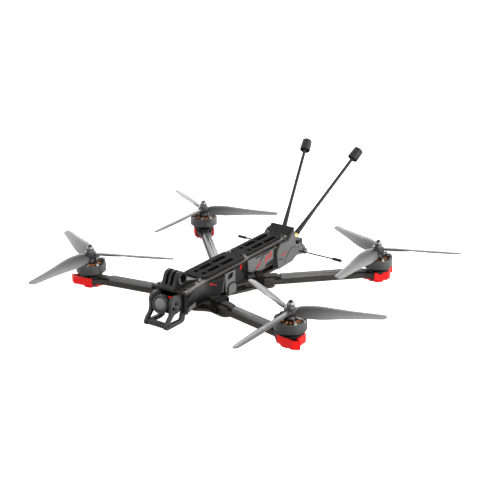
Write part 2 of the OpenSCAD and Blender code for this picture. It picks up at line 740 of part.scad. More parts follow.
module antenna() {
    color("#3c3c3e") at_antenna() {
        cylinder(h = 5, r = 3.2);
        translate([0, 0, 5]) cylinder(h = 35, r1 = 3.1, r2 = 2.05);
        translate([0, 0, 40]) cylinder(h = antenna_l - 55, r = 2.05);
        translate([0, 0, antenna_l - 15.5]) rotate_extrude()
            polygon([[0, 0], [5.9, 0], [6.5, 0.8], [6.2, 14.5], [5.4, 15.5], [0, 15.5]]);
    }
}

// Wire antenna that runs along X through the tray's cheeks behind the tail
module receiver_antenna() {
    color("#2a2a2c") translate([0, wire_y, wire_z]) {
        rotate([0, 90, 0]) cylinder(h = 124, r = wire_r, center = true);
        both_sides() translate([61, 0, 0]) rotate([0, 90, 0]) {
            cylinder(h = 3, r1 = wire_r, r2 = 1.9);
            translate([0, 0, 3]) cylinder(h = 10.7, r = 1.9);
        }
    }
}

// ---- electronics bay ----

module board(w, l, t, hole) {
    difference() {
        linear_extrude(t) rounded_square(w, l, 3);
        for (sx = [-1, 1]) for (sy = [-1, 1])
            translate([sx * hole / 2, sy * hole / 2, -1]) cylinder(h = t + 2, r = 2);
    }
}

module flight_controller() {
    color("#1f3a2a") translate([0, stack_y, bay_z + 13]) {
        board(29, 30, 1.6, stack_hole);
        translate([-4, -4, 1.6]) cube([8, 8, 1.2]);
        translate([-4.5, -15, 1.6]) cube([9, 6, 3.2]);
    }
}

module speed_controller() {
    color("#20242a") translate([0, stack_y, bay_z + 4]) {
        board(29, 38, 1.6, stack_hole);
        for (i = [-1:1]) for (sx = [-1, 1]) translate([sx * 4 - 2.5, i * 7 - 2.5, 1.6]) cube([5, 5, 1.1]);
    }
}

module stack_mounts() {
    color("#c4c7cb") for (sx = [-1, 1]) for (sy = [-1, 1])
        translate([sx * stack_hole / 2, stack_y + sy * stack_hole / 2, 0]) {
            translate([0, 0, mid_z]) cylinder(h = mid_t + 16, r = 1.4);
            translate([0, 0, bay_z]) cylinder(h = 4, r = 2.6);
            translate([0, 0, bay_z + 5.6]) cylinder(h = 7.4, r = 2.6);
            translate([0, 0, bay_z + 14.6]) cylinder(h = 1.4, r = 2.6);
        }
}

module video_transmitter() {
    color("#3a3c40") translate([-14.5, 14, bay_z]) difference() {
        cube([29, 30, 13]);
        for (i = [0:6]) translate([2.5 + i * 3.6, -1, 10]) cube([1.8, 32, 4]);
    }
}

module capacitor() {
    color("#26303a") translate([0, 50, bay_z + 5.2]) rotate([-90, 0, 0]) cylinder(h = 22, r = 5);
}

module receiver() {
    color("#20242a") translate([-7, -84, bay_z]) {
        cube([14, 20, 1.4]);
        translate([2, 3, 1.4]) cube([10, 9, 1.6]);
    }
}

// Satellite receiver on the tray behind the tail
module gps_module() {
    color("#4a4b4c") translate([0, 0, 12]) linear_extrude(7) translate([0, 114]) rounded_square(24, 12, 2);
}

bottom_plate();
mid_plate();
top_plate();
battery_pad();
standoffs();
frame_screws();
at_motor(true, true) arm(true);  // front_left_arm
at_motor(true, false) arm(true);  // front_right_arm
at_motor(false, true) arm(false);  // rear_left_arm
at_motor(false, false) arm(false);  // rear_right_arm
at_motor(true, true) guard();  // front_left_guard
at_motor(true, false) guard();  // front_right_guard
at_motor(false, true) guard();  // rear_left_guard
at_motor(false, false) guard();  // rear_right_guard
stator(true, true);  // front_left_stator
stator(true, false);  // front_right_stator
stator(false, true);  // rear_left_stator
stator(false, false);  // rear_right_stator
bell(true, true);  // front_left_bell
bell(true, false);  // front_right_bell
bell(false, true);  // rear_left_bell
bell(false, false);  // rear_right_bell
propeller(true, true);  // front_left_propeller
propeller(true, false);  // front_right_propeller
propeller(false, true);  // rear_left_propeller
propeller(false, false);  // rear_right_propeller
nut(true, true);  // front_left_nut
nut(true, false);  // front_right_nut
nut(false, true);  // rear_left_nut
nut(false, false);  // rear_right_nut
wire_sleeves();
motor_leads();
arm_clips();
motor_screws();
cage_frame();  // left_cage_frame
mirror([1, 0, 0]) cage_frame();  // right_cage_frame
cage_bar();
camera_cheeks();
camera_housing();
camera_lens();
lens_glass();
camera_screws();
action_camera_mount();
front_cover();  // left_front_cover
mirror([1, 0, 0]) front_cover();  // right_front_cover
rear_cover();  // left_rear_cover
mirror([1, 0, 0]) rear_cover();  // right_rear_cover
tail_cover();
antenna_bracket();
antenna();  // left_antenna
mirror([1, 0, 0]) antenna();  // right_antenna
antenna_connectors();
receiver_antenna();
flight_controller();
speed_controller();
stack_mounts();
video_transmitter();
capacitor();
receiver();
gps_module();
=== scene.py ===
"""Looks of the racing drone round its CAD frame: meshes, procedural materials, floor, light and camera."""

import math

import bmesh
import bpy
from mathutils import Matrix, Vector


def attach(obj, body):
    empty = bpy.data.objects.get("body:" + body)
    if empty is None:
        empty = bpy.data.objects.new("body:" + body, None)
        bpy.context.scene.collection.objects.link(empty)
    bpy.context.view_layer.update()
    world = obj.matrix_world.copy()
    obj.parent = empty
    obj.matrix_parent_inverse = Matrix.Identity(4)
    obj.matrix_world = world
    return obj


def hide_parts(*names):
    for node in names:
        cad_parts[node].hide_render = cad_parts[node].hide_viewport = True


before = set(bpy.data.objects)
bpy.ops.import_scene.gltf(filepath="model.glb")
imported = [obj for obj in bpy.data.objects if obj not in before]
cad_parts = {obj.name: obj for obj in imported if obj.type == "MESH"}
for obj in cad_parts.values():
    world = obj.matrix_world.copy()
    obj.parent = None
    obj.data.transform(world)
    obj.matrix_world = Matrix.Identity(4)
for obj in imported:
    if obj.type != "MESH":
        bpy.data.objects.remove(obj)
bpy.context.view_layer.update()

MM = 0.001
CORNERS = ("front_left", "front_right", "rear_left", "rear_right")
CAMERA_NODES = ("camera_housing", "camera_lens", "lens_glass", "camera_screws")
MOTOR_PLACES = {"front": (134.0, -100.0), "rear": (125.0, 100.0)}
ARM_ANGLES = {"front": -11.1, "rear": 45.5}

# Camera: angles in degrees, distance and shifts in mm
CAMERA_AZIMUTH = 34.9
CAMERA_ELEVATION = 20.785
CAMERA_DISTANCE = 1162
CAMERA_SHIFT = (7.51, 10.68)
CAMERA_AIM = (0, 0, 33)
CAMERA_LENS = 75.16


def placed(name, data):
    """A new object that shows the data in the scene."""
    made = bpy.data.objects.new(name, data)
    bpy.context.collection.objects.link(made)
    return made


# ---- camera ----

def add_camera():
    azimuth = math.radians(CAMERA_AZIMUTH)
    elevation = math.radians(CAMERA_ELEVATION)
    level = math.cos(elevation)
    back = Vector((math.sin(azimuth) * level, -math.cos(azimuth) * level, math.sin(elevation)))
    right = Vector((math.cos(azimuth), math.sin(azimuth), 0))
    up = back.cross(right)
    data = bpy.data.cameras.new("camera")
    data.lens = CAMERA_LENS
    data.sensor_width = 36
    data.clip_start = 0.05
    data.clip_end = 20
    camera = placed("camera", data)
    shift = right * CAMERA_SHIFT[0] + up * CAMERA_SHIFT[1]
    place = (back * CAMERA_DISTANCE + shift + Vector(CAMERA_AIM)) * MM
    turn = Matrix((right, up, back)).transposed().to_4x4()
    camera.matrix_world = Matrix.Translation(place) @ turn
    bpy.context.scene.camera = camera


add_camera()


# ---- materials ----

class Shader:
    """A Principled material whose node graph is written as nested calls."""

    def __init__(self, name, **constants):
        self.material = bpy.data.materials.new(name)
        self.material.use_nodes = True
        self.tree = self.material.node_tree
        self.surface = self.tree.nodes["Principled BSDF"]
        self.surface.inputs["Specular IOR Level"].default_value = constants.pop("gloss", 0.5)
        for key, value in constants.items():
            self.surface.inputs[key.replace("_", " ")].default_value = value

    def node(self, kind, output, inputs=None, **settings):
        made = self.tree.nodes.new(kind)
        for key, value in settings.items():
            setattr(made, key, value)
        for key, value in (inputs or {}).items():
            if isinstance(value, bpy.types.NodeSocket):
                self.tree.links.new(value, made.inputs[key])
            else:
                made.inputs[key].default_value = value
        return made.outputs[output]

    def place(self, kind="Object"):
        return self.node("ShaderNodeTexCoord", kind)

    def stretch(self, scale, kind="Object"):
        return self.node("ShaderNodeMapping", "Vector", {"Vector": self.place(kind), "Scale": scale})

    def axis(self, name, kind="Object"):
        return self.node("ShaderNodeSeparateXYZ", name, {"Vector": self.place(kind)})

    def normal_axis(self, name):
        normal = self.node("ShaderNodeNewGeometry", "Normal")
        return self.node("ShaderNodeSeparateXYZ", name, {"Vector": normal})

    def noise(self, scale, detail, vector=None):
        return self.node("ShaderNodeTexNoise", "Fac", {
            "Vector": vector or self.place(), "Scale": scale, "Detail": detail, "Roughness": 0.55})

    def math(self, operation, a, b=0.0, c=0.0, clamp=False):
        return self.node("ShaderNodeMath", "Value", {0: a, 1: b, 2: c}, operation=operation, use_clamp=clamp)

    def span(self, value, low, high, to_low=0.0, to_high=1.0):
        return self.node("ShaderNodeMapRange", "Result", {
            "Value": value, "From Min": low, "From Max": high, "To Min": to_low, "To Max": to_high})

    def mix(self, factor, a, b):
        return self.node("ShaderNodeMix", 2, {0: factor, 6: a, 7: b}, data_type="RGBA")

    def colour(self, value):
        self.tree.links.new(value, self.surface.inputs["Base Color"])

    def rough(self, value):
        self.tree.links.new(value, self.surface.inputs["Roughness"])

    def scuff(self, scale, detail, low, high):
        """Roughness that wanders between low and high."""
        self.rough(self.span(self.noise(scale, detail), 0.3, 0.7, low, high))

    def bump(self, height, strength, distance):
        made = self.node("ShaderNodeBump", "Normal", {
            "Height": height, "Strength": strength, "Distance": distance * MM})
        self.tree.links.new(made, self.surface.inputs["Normal"])


def grey(value, warm=0.0):
    return (value * (1 + warm), value, value * (1 - warm), 1)


def moulded(name, dark, light, rough=0.45, grain=1400, bump=0.25, blotch=45, **constants):
    """Moulded or printed plastic, rubber or paint: blotches, fine grain and scuffed roughness."""
    s = Shader(name, **constants)
    broad = s.noise(blotch, 3)
    fine = s.noise(grain, 2)
    s.colour(s.mix(s.math("MULTIPLY_ADD", fine, 0.35, s.math("MULTIPLY", broad, 0.65)), dark, light))
    s.scuff(blotch * 3, 4, rough - 0.07, rough + 0.07)
    s.bump(fine, bump, 0.08)
    return s.material


def metal(name, dark, light, rough=0.28, streak=(200, 200, 3000), **constants):
    """Machined or anodised metal with fine turning streaks."""
    s = Shader(name, Metallic=constants.pop("Metallic", 1.0), **constants)
    streaks = s.noise(1, 3, s.stretch(streak))
    s.colour(s.mix(streaks, dark, light))
    s.scuff(260, 3, rough - 0.06, rough + 0.08)
    s.bump(streaks, 0.12, 0.03)
    return s.material


def carbon(name, rough=0.38, light=0.05, gloss=0.35):
    """Twill carbon laminate: weave on the faces, thin layered stripes on the cut edges."""
    s = Shader(name, gloss=gloss)
    tow = 1.5 * MM
    across = s.math("DIVIDE", s.axis("X"), tow)
    along = s.math("DIVIDE", s.axis("Y"), tow)
    step = s.math("SUBTRACT", s.math("FLOOR", across), s.math("FLOOR", along))
    over = s.math("LESS_THAN", s.math("FLOORED_MODULO", step, 4.0), 1.5)
    crown_a = s.math("SINE", s.math("MULTIPLY", s.math("FRACT", across), math.pi))
    crown_b = s.math("SINE", s.math("MULTIPLY", s.math("FRACT", along), math.pi))
    crown = s.math("ADD", s.math("MULTIPLY", over, crown_a),
                   s.math("MULTIPLY", s.math("SUBTRACT", 1.0, over), crown_b))
    across_fibres = s.noise(1, 2, s.stretch((9000, 700, 700)))
    along_fibres = s.noise(1, 2, s.stretch((700, 9000, 700)))
    fibres = s.math("ADD", s.math("MULTIPLY", over, across_fibres),
                    s.math("MULTIPLY", s.math("SUBTRACT", 1.0, over), along_fibres))
    weave = s.mix(s.math("MULTIPLY", over, s.math("MULTIPLY_ADD", fibres, 0.7, 0.4), clamp=True),
                  grey(0.008, 0.04), grey(light, 0.05))
    layers = s.noise(1, 2, s.stretch((60, 60, 5200)))
    edge = s.mix(s.span(layers, 0.35, 0.65), grey(0.016, 0.1), grey(0.06, 0.12))
    face = s.span(s.math("ABSOLUTE", s.normal_axis("Z")), 0.75, 0.95)
    s.colour(s.mix(face, edge, weave))
    s.scuff(90, 3, rough - 0.05, rough + 0.1)
    s.bump(s.math("ADD", s.math("MULTIPLY", s.math("MULTIPLY", face, crown), 0.8),
                  s.math("MULTIPLY", layers, 0.3)), 0.3, 0.06)
    return s.material


def braid(name):
    """Braided sleeve: two crossing families of fine strands over the sheet's own coordinates."""
    s = Shader(name, gloss=0.9, Coat_Weight=0.3, Coat_Roughness=0.25)
    u = s.axis("X", "UV")
    v = s.axis("Y", "UV")
    a = s.math("SINE", s.math("MULTIPLY", s.math("ADD", u, v), math.pi))
    b = s.math("SINE", s.math("MULTIPLY", s.math("SUBTRACT", u, v), math.pi))
    knit = s.math("ABSOLUTE", s.math("MULTIPLY", a, b))
    s.colour(s.mix(s.math("MULTIPLY_ADD", s.noise(900, 2), 0.3, s.math("MULTIPLY", knit, 0.5)),
                   grey(0.03), grey(0.14)))
    s.rough(s.span(knit, 0.0, 1.0, 0.34, 0.24))
    s.bump(knit, 0.15, 0.06)
    return s.material


def ribbed(name, dark, light):
    """Rubber insulation with a pressed hatch across it."""
    s = Shader(name)
    hatch = s.math("ABSOLUTE", s.math("SINE", s.math("MULTIPLY", s.axis("X", "UV"), math.pi)))
    tone = s.math("MULTIPLY_ADD", s.noise(1300, 2), 0.4, s.math("MULTIPLY", hatch, 0.6))
    s.colour(s.mix(tone, dark, light))
    s.scuff(300, 2, 0.36, 0.55)
    s.bump(hatch, 0.5, 0.15)
    return s.material


def shaded_fairing_plastic(name, low, high, dark, light, rough=0.42):
    """Plastic with painted light and shade for the curve of the nose fairing: it pales from height low to
    height high, in mm, where the curve turns up to the light, and darkens again further aft.
    """
    s = Shader(name, gloss=0.25)
    upward = s.span(s.axis("Z"), low * MM, high * MM)
    # painted light: the upper front of the nose fairing lit, the lower part in painted shade
    painted_fairing_light = s.math("MULTIPLY", upward, s.span(s.axis("Y"), -79 * MM, -92 * MM))
    tone = s.math("MULTIPLY_ADD", s.noise(700, 3), 0.16, s.math("SUBTRACT", painted_fairing_light, 0.08), clamp=True)
    s.colour(s.mix(tone, dark, light))
    s.scuff(120, 3, rough - 0.06, rough + 0.08)
    s.bump(s.noise(1500, 2), 0.2, 0.06)
    return s.material


def laminated(name, dark, light):
    """Stack of thin steel sheets with an insulating coat."""
    s = Shader(name, Metallic=0.85)
    sheets = s.math("SINE", s.math("MULTIPLY", s.axis("Z"), 2 * math.pi / (0.35 * MM)))
    s.colour(s.mix(s.span(sheets, -1.0, 1.0), dark, light))
    s.scuff(400, 2, 0.34, 0.5)
    s.bump(sheets, 0.4, 0.05)
    return s.material


def enamelled(name):
    """Enamelled copper wire, lighter and redder in patches."""
    s = Shader(name, Metallic=0.9, Coat_Weight=0.6, Coat_Roughness=0.12)
    s.colour(s.mix(s.noise(420, 3), (0.55, 0.13, 0.03, 1), (0.95, 0.42, 0.14, 1)))
    s.scuff(900, 2, 0.22, 0.36)
    s.bump(s.noise(2500, 2), 0.1, 0.03)
    return s.material


def smoked(name):
    """Smoked polycarbonate, near black at the root, with painted light: paler to the tip and along the thin
    trailing edge, where light would shine through the thin plastic.
    """
    s = Shader(name, gloss=0.6, IOR=1.5, Coat_Weight=0.15, Coat_Roughness=0.25)
    flow = s.noise(1, 3, s.stretch((14, 2.0, 1), "UV"))
    out = s.axis("X", "UV")
    trailing = s.math("ABSOLUTE", s.math("SUBTRACT", s.axis("Y", "UV"), 0.5))
    # painted light through the thin trailing edge, stronger further out
    rim = s.math("MULTIPLY", s.span(trailing, 0.34, 0.03), s.span(out, 0.12, 0.5, 0.1, 0.75))
    # painted light growing towards the tip, plus the edge light
    tone = s.math("MULTIPLY_ADD", s.span(out, 0.24, 0.95), 0.6, rim)
    s.colour(s.mix(s.math("MULTIPLY_ADD", flow, 0.12, s.math("SUBTRACT", tone, 0.06), clamp=True),
                   grey(0.008), grey(0.23)))
    s.scuff(60, 3, 0.32, 0.42)
    s.bump(s.noise(1800, 2), 0.08, 0.03)
    return s.material


def circuit(name, mask, trace):
    """Circuit board: solder mask with fine tracks and pads."""
    s = Shader(name, Coat_Weight=0.3, Coat_Roughness=0.15)
    tracks = s.node("ShaderNodeTexBrick", "Fac", {
        "Vector": s.place(), "Scale": 700.0, "Mortar Size": 0.03, "Brick Width": 0.9, "Row Height": 0.35})
    s.colour(s.mix(s.math("MULTIPLY", tracks, s.noise(220, 2)), mask, trace))
    s.scuff(500, 2, 0.3, 0.45)
    s.bump(tracks, 0.3, 0.03)
    return s.material


def coated_glass(name):
    """Protective dome over the front lens element, with a little random haze and a painted reflection that
    makes it paler towards its top.
    """
    s = Shader(name, IOR=1.7, Metallic=0.35, gloss=0.8, Coat_Weight=0.6, Coat_Roughness=0.12)
    # painted reflection: paler from 13 to 30 mm up, with a little random haze
    haze_and_reflection = s.math("MULTIPLY_ADD", s.noise(160, 1), 0.2, s.span(s.axis("Z"), 13 * MM, 30 * MM, -0.1, 0.9))
    s.colour(s.mix(haze_and_reflection, (0.02, 0.021, 0.023, 1), (0.13, 0.13, 0.135, 1)))
    s.scuff(90, 2, 0.3, 0.38)
    s.bump(s.noise(700, 1), 0.02, 0.01)
    return s.material


MATERIALS = {
    "carbon_fibre": carbon("carbon_fibre"),
    "carbon_polished": carbon("carbon_polished", 0.34, 0.08, 0.42),
    "red_guard": moulded("red_guard", (0.82, 0.003, 0.003, 1), (1.0, 0.012, 0.01, 1), 0.42, 900, 0.2,
                         gloss=0.35),
    "motor_windings": enamelled("motor_windings"),
    "motor_core": laminated("motor_core", grey(0.06), grey(0.22)),
    "motor_bell": metal("motor_bell", grey(0.028), grey(0.045), 0.36, (60, 60, 1500), Metallic=0.2,
                        Coat_Weight=0.9, Coat_Roughness=0.16),
    # painted shade: the silver motor base and shaft coloured near black for the shade under the bell
    "shade_dark_base_metal": metal("shade_dark_base_metal", grey(0.004), grey(0.012), 0.42, Metallic=0.2, gloss=0.2),
    # painted highlight: a lighter copy of the screw steel for the sloped rims of the heads
    "rim_highlight_steel": metal("rim_highlight_steel", grey(0.07), grey(0.16), 0.3),
    "machined": metal("machined", grey(0.16), grey(0.34), 0.32),
    "magnet": metal("magnet", grey(0.2), grey(0.35), 0.3),
    "smoked_plastic": smoked("smoked_plastic"),
    "bright_steel": metal("bright_steel", grey(0.12), grey(0.3), 0.26),
    "dark_steel": metal("dark_steel", grey(0.03), grey(0.07), 0.3),
    "black_rubber": moulded("black_rubber", grey(0.004), grey(0.011), 0.75, 1700, 0.4, gloss=0.1),
    "grey_aluminium": metal("grey_aluminium", grey(0.03), grey(0.06), 0.35),
    "braided_sleeve": braid("braided_sleeve"),
    "motor_lead": ribbed("motor_lead", grey(0.004), grey(0.05)),
    "dark_plastic": moulded("dark_plastic", grey(0.008), grey(0.02), 0.5, gloss=0.25),
    # real black plastic on the arm clips and cover backings, and painted shade on slot walls, hex sockets,
    # the cage's inner sides and the mount's slots and recess
    "black_plastic_and_shade": moulded("black_plastic_and_shade", grey(0.002), grey(0.007), 0.5, gloss=0.12),
    "grey_tpu": moulded("grey_tpu", grey(0.022), grey(0.042), 0.45, 1100, 0.3, gloss=0.4),
    "mount_tpu": moulded("mount_tpu", grey(0.014), grey(0.028), 0.42, 1100, 0.3, gloss=0.3),
    "light_plastic": moulded("light_plastic", grey(0.1), grey(0.15), 0.4, 1500, 0.2, gloss=0.35),
    "cheek_plastic": moulded("cheek_plastic", grey(0.045), grey(0.08), 0.4, 1300, 0.2),
    # nose fairing: painted light and shade between heights 18 and 32 mm
    "nose_plastic": shaded_fairing_plastic("nose_plastic", 18, 32, grey(0.001), grey(0.055)),
    "flank_plastic": moulded("flank_plastic", grey(0.002), grey(0.007), 0.45, gloss=0.12),
    "mark_red": moulded("mark_red", (0.5, 0.002, 0.002, 1), (0.75, 0.006, 0.006, 1), 0.4, gloss=0.12),
    "mark_dark": moulded("mark_dark", grey(0.004), grey(0.01), 0.5, gloss=0.2),
    "camera_body": moulded("camera_body", grey(0.008), grey(0.018), 0.4, gloss=0.3),
    "lens_ring": metal("lens_ring", grey(0.035), grey(0.06), 0.34, Metallic=0.5),
    "lens_glass": coated_glass("lens_glass"),
    "antenna_black": moulded("antenna_black", grey(0.014), grey(0.026), 0.42, 1400, 0.2, gloss=0.3),
    "brass": metal("brass", (0.45, 0.3, 0.08, 1), (0.7, 0.5, 0.18, 1), 0.28),
    "circuit_board": circuit("circuit_board", (0.006, 0.014, 0.03, 1), (0.2, 0.16, 0.06, 1)),
    "chip": moulded("chip", grey(0.006), grey(0.015), 0.35, 1500, 0.15),
    "solder": metal("solder", grey(0.5), grey(0.7), 0.32),
    "heat_sink": metal("heat_sink", grey(0.03), grey(0.06), 0.4),
    "tan_part": moulded("tan_part", (0.3, 0.16, 0.05, 1), (0.5, 0.3, 0.1, 1), 0.45),
}


# ---- mesh code ----

class Shape:
    """One mesh put together from closed shells, written in mm in the row frame."""

    def __init__(self, *slots):
        self.bm = bmesh.new()
        self.uv = self.bm.loops.layers.uv.new("UVMap")
        self.slots = slots
        self.matrix = Matrix.Identity(4)

    def at(self, matrix):
        self.matrix = matrix
        return self

    def face(self, corners, slot=0, uvs=None):
        try:
            made = self.bm.faces.new(corners)
        except ValueError:
            return
        made.material_index = slot
        if uvs:
            for loop, uv in zip(made.loops, uvs):
                loop[self.uv].uv = uv

    def points(self, places):
        return [self.bm.verts.new(self.matrix @ Vector(p)) for p in places]

    def rings(self, rings, slot=0, caps=True, uv_scale=(1.0, 1.0), slots=None):
        """Skin over closed rings of equal point counts."""
        rows = [self.points(ring) for ring in rings]
        count = len(rows[0])
        for i in range(len(rows) - 1):
            for j in range(count):
                k = (j + 1) % count
                use = slots(i, j) if slots else slot
                corners = ((i, j), (i + 1, j), (i + 1, j + 1), (i, j + 1))
                uv = [(a * uv_scale[0], b * uv_scale[1]) for a, b in corners]
                self.face([rows[i][j], rows[i + 1][j], rows[i + 1][k], rows[i][k]], use, uv)
        if caps:
            self.face(rows[0], slots(0, 0) if slots else slot)
            self.face(rows[-1], slots(len(rows) - 2, 0) if slots else slot)

    def lathe(self, profile, slot=0, segments=72, slots=None, loop=False):
        """Turns [radius, height] points about Z. A zero radius closes that end."""
        rings = []
        for radius, height in profile:
            radius = max(radius, 0.001)
            rings.append([(radius * math.cos(2 * math.pi * j / segments),
                           radius * math.sin(2 * math.pi * j / segments), height) for j in range(segments)])
        if loop:
            rows = [self.points(ring) for ring in rings]
            rows.append(rows[0])
            for i in range(len(rows) - 1):
                for j in range(segments):
                    k = (j + 1) % segments
                    self.face([rows[i][j], rows[i + 1][j], rows[i + 1][k], rows[i][k]],
                              slots(i, j) if slots else slot)
        else:
            self.rings(rings, slot, slots=slots)

    def block(self, low, high, slot=0, bevel=0.3, segments=2):
        """A box with rounded edges."""
        x, y, z = zip(low, high)
        v = self.points([(x[i], y[j], z[k]) for i in (0, 1) for j in (0, 1) for k in (0, 1)])
        faces = []
        for ids in ((0, 1, 3, 2), (4, 6, 7, 5), (0, 4, 5, 1), (2, 3, 7, 6), (0, 2, 6, 4), (1, 5, 7, 3)):
            made = self.bm.faces.new([v[i] for i in ids])
            made.material_index = slot
            faces.append(made)
        if bevel:
            self.round_edges({e for f in faces for e in f.edges}, bevel, segments, slot)

    def prism(self, outline, low, high, slot=0, bevel=0.0, axis="Z", segments=2):
        """Extrudes an outline along an axis: [x, y] points along Z, or [y, z] points along X."""
        def put(p, h):
            return (p[0], p[1], h) if axis == "Z" else (h, p[0], p[1])
        bottom = self.points([put(p, low) for p in outline])
        top = self.points([put(p, high) for p in outline])
        count = len(outline)
        faces = [self.bm.faces.new(list(reversed(bottom))), self.bm.faces.new(top)]
        for i in range(count):
            k = (i + 1) % count
            faces.append(self.bm.faces.new([bottom[i], bottom[k], top[k], top[i]]))
        for made in faces:
            made.material_index = slot
        if bevel:
            sharp = {e for f in faces for e in f.edges if e.calc_face_angle(3.2) > math.radians(25)}
            self.round_edges(sharp, bevel, segments, slot)

    def round_edges(self, edges, bevel, segments, slot):
        bmesh.ops.bevel(self.bm, geom=list(edges), offset=bevel, segments=segments, profile=0.5,
                        affect="EDGES", clamp_overlap=True, material=slot)

    def sweep(self, path, section, slot=0, closed=False, up=(0, 0, 1), uv_scale=(1.0, 1.0)):
        """Carries a flat [side, height] section along a path of points."""
        rings = []
        path = [Vector(p) for p in path]
        count = len(path)
        for i, p in enumerate(path):
            if closed:
                tangent = path[(i + 1) % count] - path[i - 1]
            else:
                tangent = path[min(i + 1, count - 1)] - path[max(i - 1, 0)]
            tangent.normalize()
            side = tangent.cross(Vector(up)).normalized()
            lift = side.cross(tangent)
            rings.append([p + side * a + lift * b for a, b in section])
        if closed:
            rows = [self.points(ring) for ring in rings]
            for i in range(count):
                for j in range(len(section)):
                    k = (j + 1) % len(section)
                    a, b = rows[i], rows[(i + 1) % count]
                    self.face([a[j], b[j], b[k], a[k]], slot)
        else:
            self.rings(rings, slot, uv_scale=uv_scale)

    def finish(self, name, body, replaced=(), angle=32):
        """Turns the shells into an object that rides on a body."""
        bmesh.ops.remove_doubles(self.bm, verts=self.bm.verts, dist=0.0004)
        bmesh.ops.recalc_face_normals(self.bm, faces=self.bm.faces)
        bmesh.ops.scale(self.bm, vec=(MM, MM, MM), verts=self.bm.verts)
        mesh = bpy.data.meshes.new(name)
        self.bm.to_mesh(mesh)
        self.bm.free()
        for key in self.slots:
            mesh.materials.append(MATERIALS[key])
        mesh.shade_smooth()
        mesh.set_sharp_from_angle(angle=math.radians(angle))
        made = placed(name, mesh)
        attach(made, body)
        if replaced:
            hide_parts(*replaced)
        return made


def circle(radius, count):
    return [(radius * math.cos(2 * math.pi * i / count), radius * math.sin(2 * math.pi * i / count))
            for i in range(count)]


def turned(angle, axis="Z"):
    return Matrix.Rotation(math.radians(angle), 4, axis)


def moved(x, y, z):
    return Matrix.Translation((x, y, z))


def flipped(axis):
    scale = [1, 1, 1]
    scale["XYZ".index(axis)] = -1
    return Matrix.Diagonal((*scale, 1))


def axis_matrix(corner):
    """From a motor's own place, without turning, to the row frame."""
    end, side = corner.split("_")
    x, y = MOTOR_PLACES[end]
    place = moved(x, y, 0)
    return flipped("X") @ place if side == "right" else place


def arm_matrix(corner):
    """From a motor's own place, with X outward along the arm, to the row frame."""
    end = corner.split("_")[0]
    matrix = axis_matrix(corner) @ turned(ARM_ANGLES[end])
    return matrix @ flipped("Y") if end == "front" else matrix


def body_of(node):
    for corner in CORNERS:
        if node in (corner + "_bell", corner + "_propeller", corner + "_nut"):
            return corner + "_rotor"
    return "camera" if node in CAMERA_NODES else "airframe"


def inside(point, outline):
    """Whether the point lies in the outline, by counting crossings."""
    hit = False
    j = len(outline) - 1
    for i, (x, y) in enumerate(outline):
        px, py = outline[j]
        if (y > point[1]) != (py > point[1]) and point[0] < (px - x) * (point[1] - y) / (py - y) + x:
            hit = not hit
        j = i
    return hit


def own_middles(bm):
    """For every face, the middle in mm of the separate solid it belongs to."""
    middles = {}
    for seed in bm.faces:
        if seed in middles:
            continue
        members, edge = {seed}, [seed]
        while edge:
            for e in edge.pop().edges:
                for other in e.link_faces:
                    if other not in members:
                        members.add(other)
                        edge.append(other)
        spots = [v.co for face in members for v in face.verts]
        low = Vector([min(p[i] for p in spots) for i in range(3)])
        high = Vector([max(p[i] for p in spots) for i in range(3)])
        middle = (low + high) / (2 * MM)
        middles.update((face, middle) for face in members)
    return middles


def refine(node, slot, materials=None, bevel=0.25, segments=2, sharp=25, paint=None, own=False):
    """A finer copy of a CAD node: flat faces joined up, every sharp edge rounded, then painted by region.

    With own=True the paint rule gets places measured from the middle of each separate solid."""
    bm = bmesh.new()
    bm.from_mesh(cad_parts[node].data)
    bmesh.ops.remove_doubles(bm, verts=bm.verts, dist=2e-6)
    bmesh.ops.dissolve_limit(bm, angle_limit=math.radians(0.5), verts=bm.verts, edges=bm.edges)
    edges = [e for e in bm.edges if e.is_manifold and e.calc_face_angle(0) > math.radians(sharp)]
    bmesh.ops.bevel(bm, geom=edges, offset=bevel * MM, segments=segments, profile=0.5, affect="EDGES",
                    clamp_overlap=True)
    if paint:
        bm.normal_update()
        middles = own_middles(bm) if own else {}
        for face in bm.faces:
            place = face.calc_center_median() / MM - middles.get(face, Vector())
            face.material_index = paint(place, face.normal)
    mesh = bpy.data.meshes.new(node + "_fine")
    bm.to_mesh(mesh)
    bm.free()
    for key in materials or (slot,):
        mesh.materials.append(MATERIALS[key])
    mesh.shade_smooth()
    mesh.set_sharp_from_angle(angle=math.radians(38))
    made = placed(node + "_fine", mesh)
    modifier = made.modifiers.new("normals", "WEIGHTED_NORMAL")
    modifier.keep_sharp = True
    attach(made, body_of(node))
    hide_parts(node)
    return made


# ---- plates, arms, guards and fasteners ----

def slot_shade_paint(place, normal):
    """Painted shade: the walls inside the strap slots, which look into the dark bay, are painted black."""
    return 1 if abs(normal.z) < 0.6 and abs(place.x) < 9 and -84 < place.y < 76 else 0


def screw_glint_and_shade_paint(place, normal):
    """Dark heads, with a painted highlight on the sloped rim and painted shade in the hex socket."""
    # painted shade in the hex socket
    if math.hypot(place.x, place.y) < 1.25:
        return 1
    # painted highlight on the sloped rim
    return 2 if 0.25 < abs(normal.z) < 0.8 else 0


refine("bottom_plate", "carbon_fibre", bevel=0.2)
refine("mid_plate", "carbon_fibre", bevel=0.2)
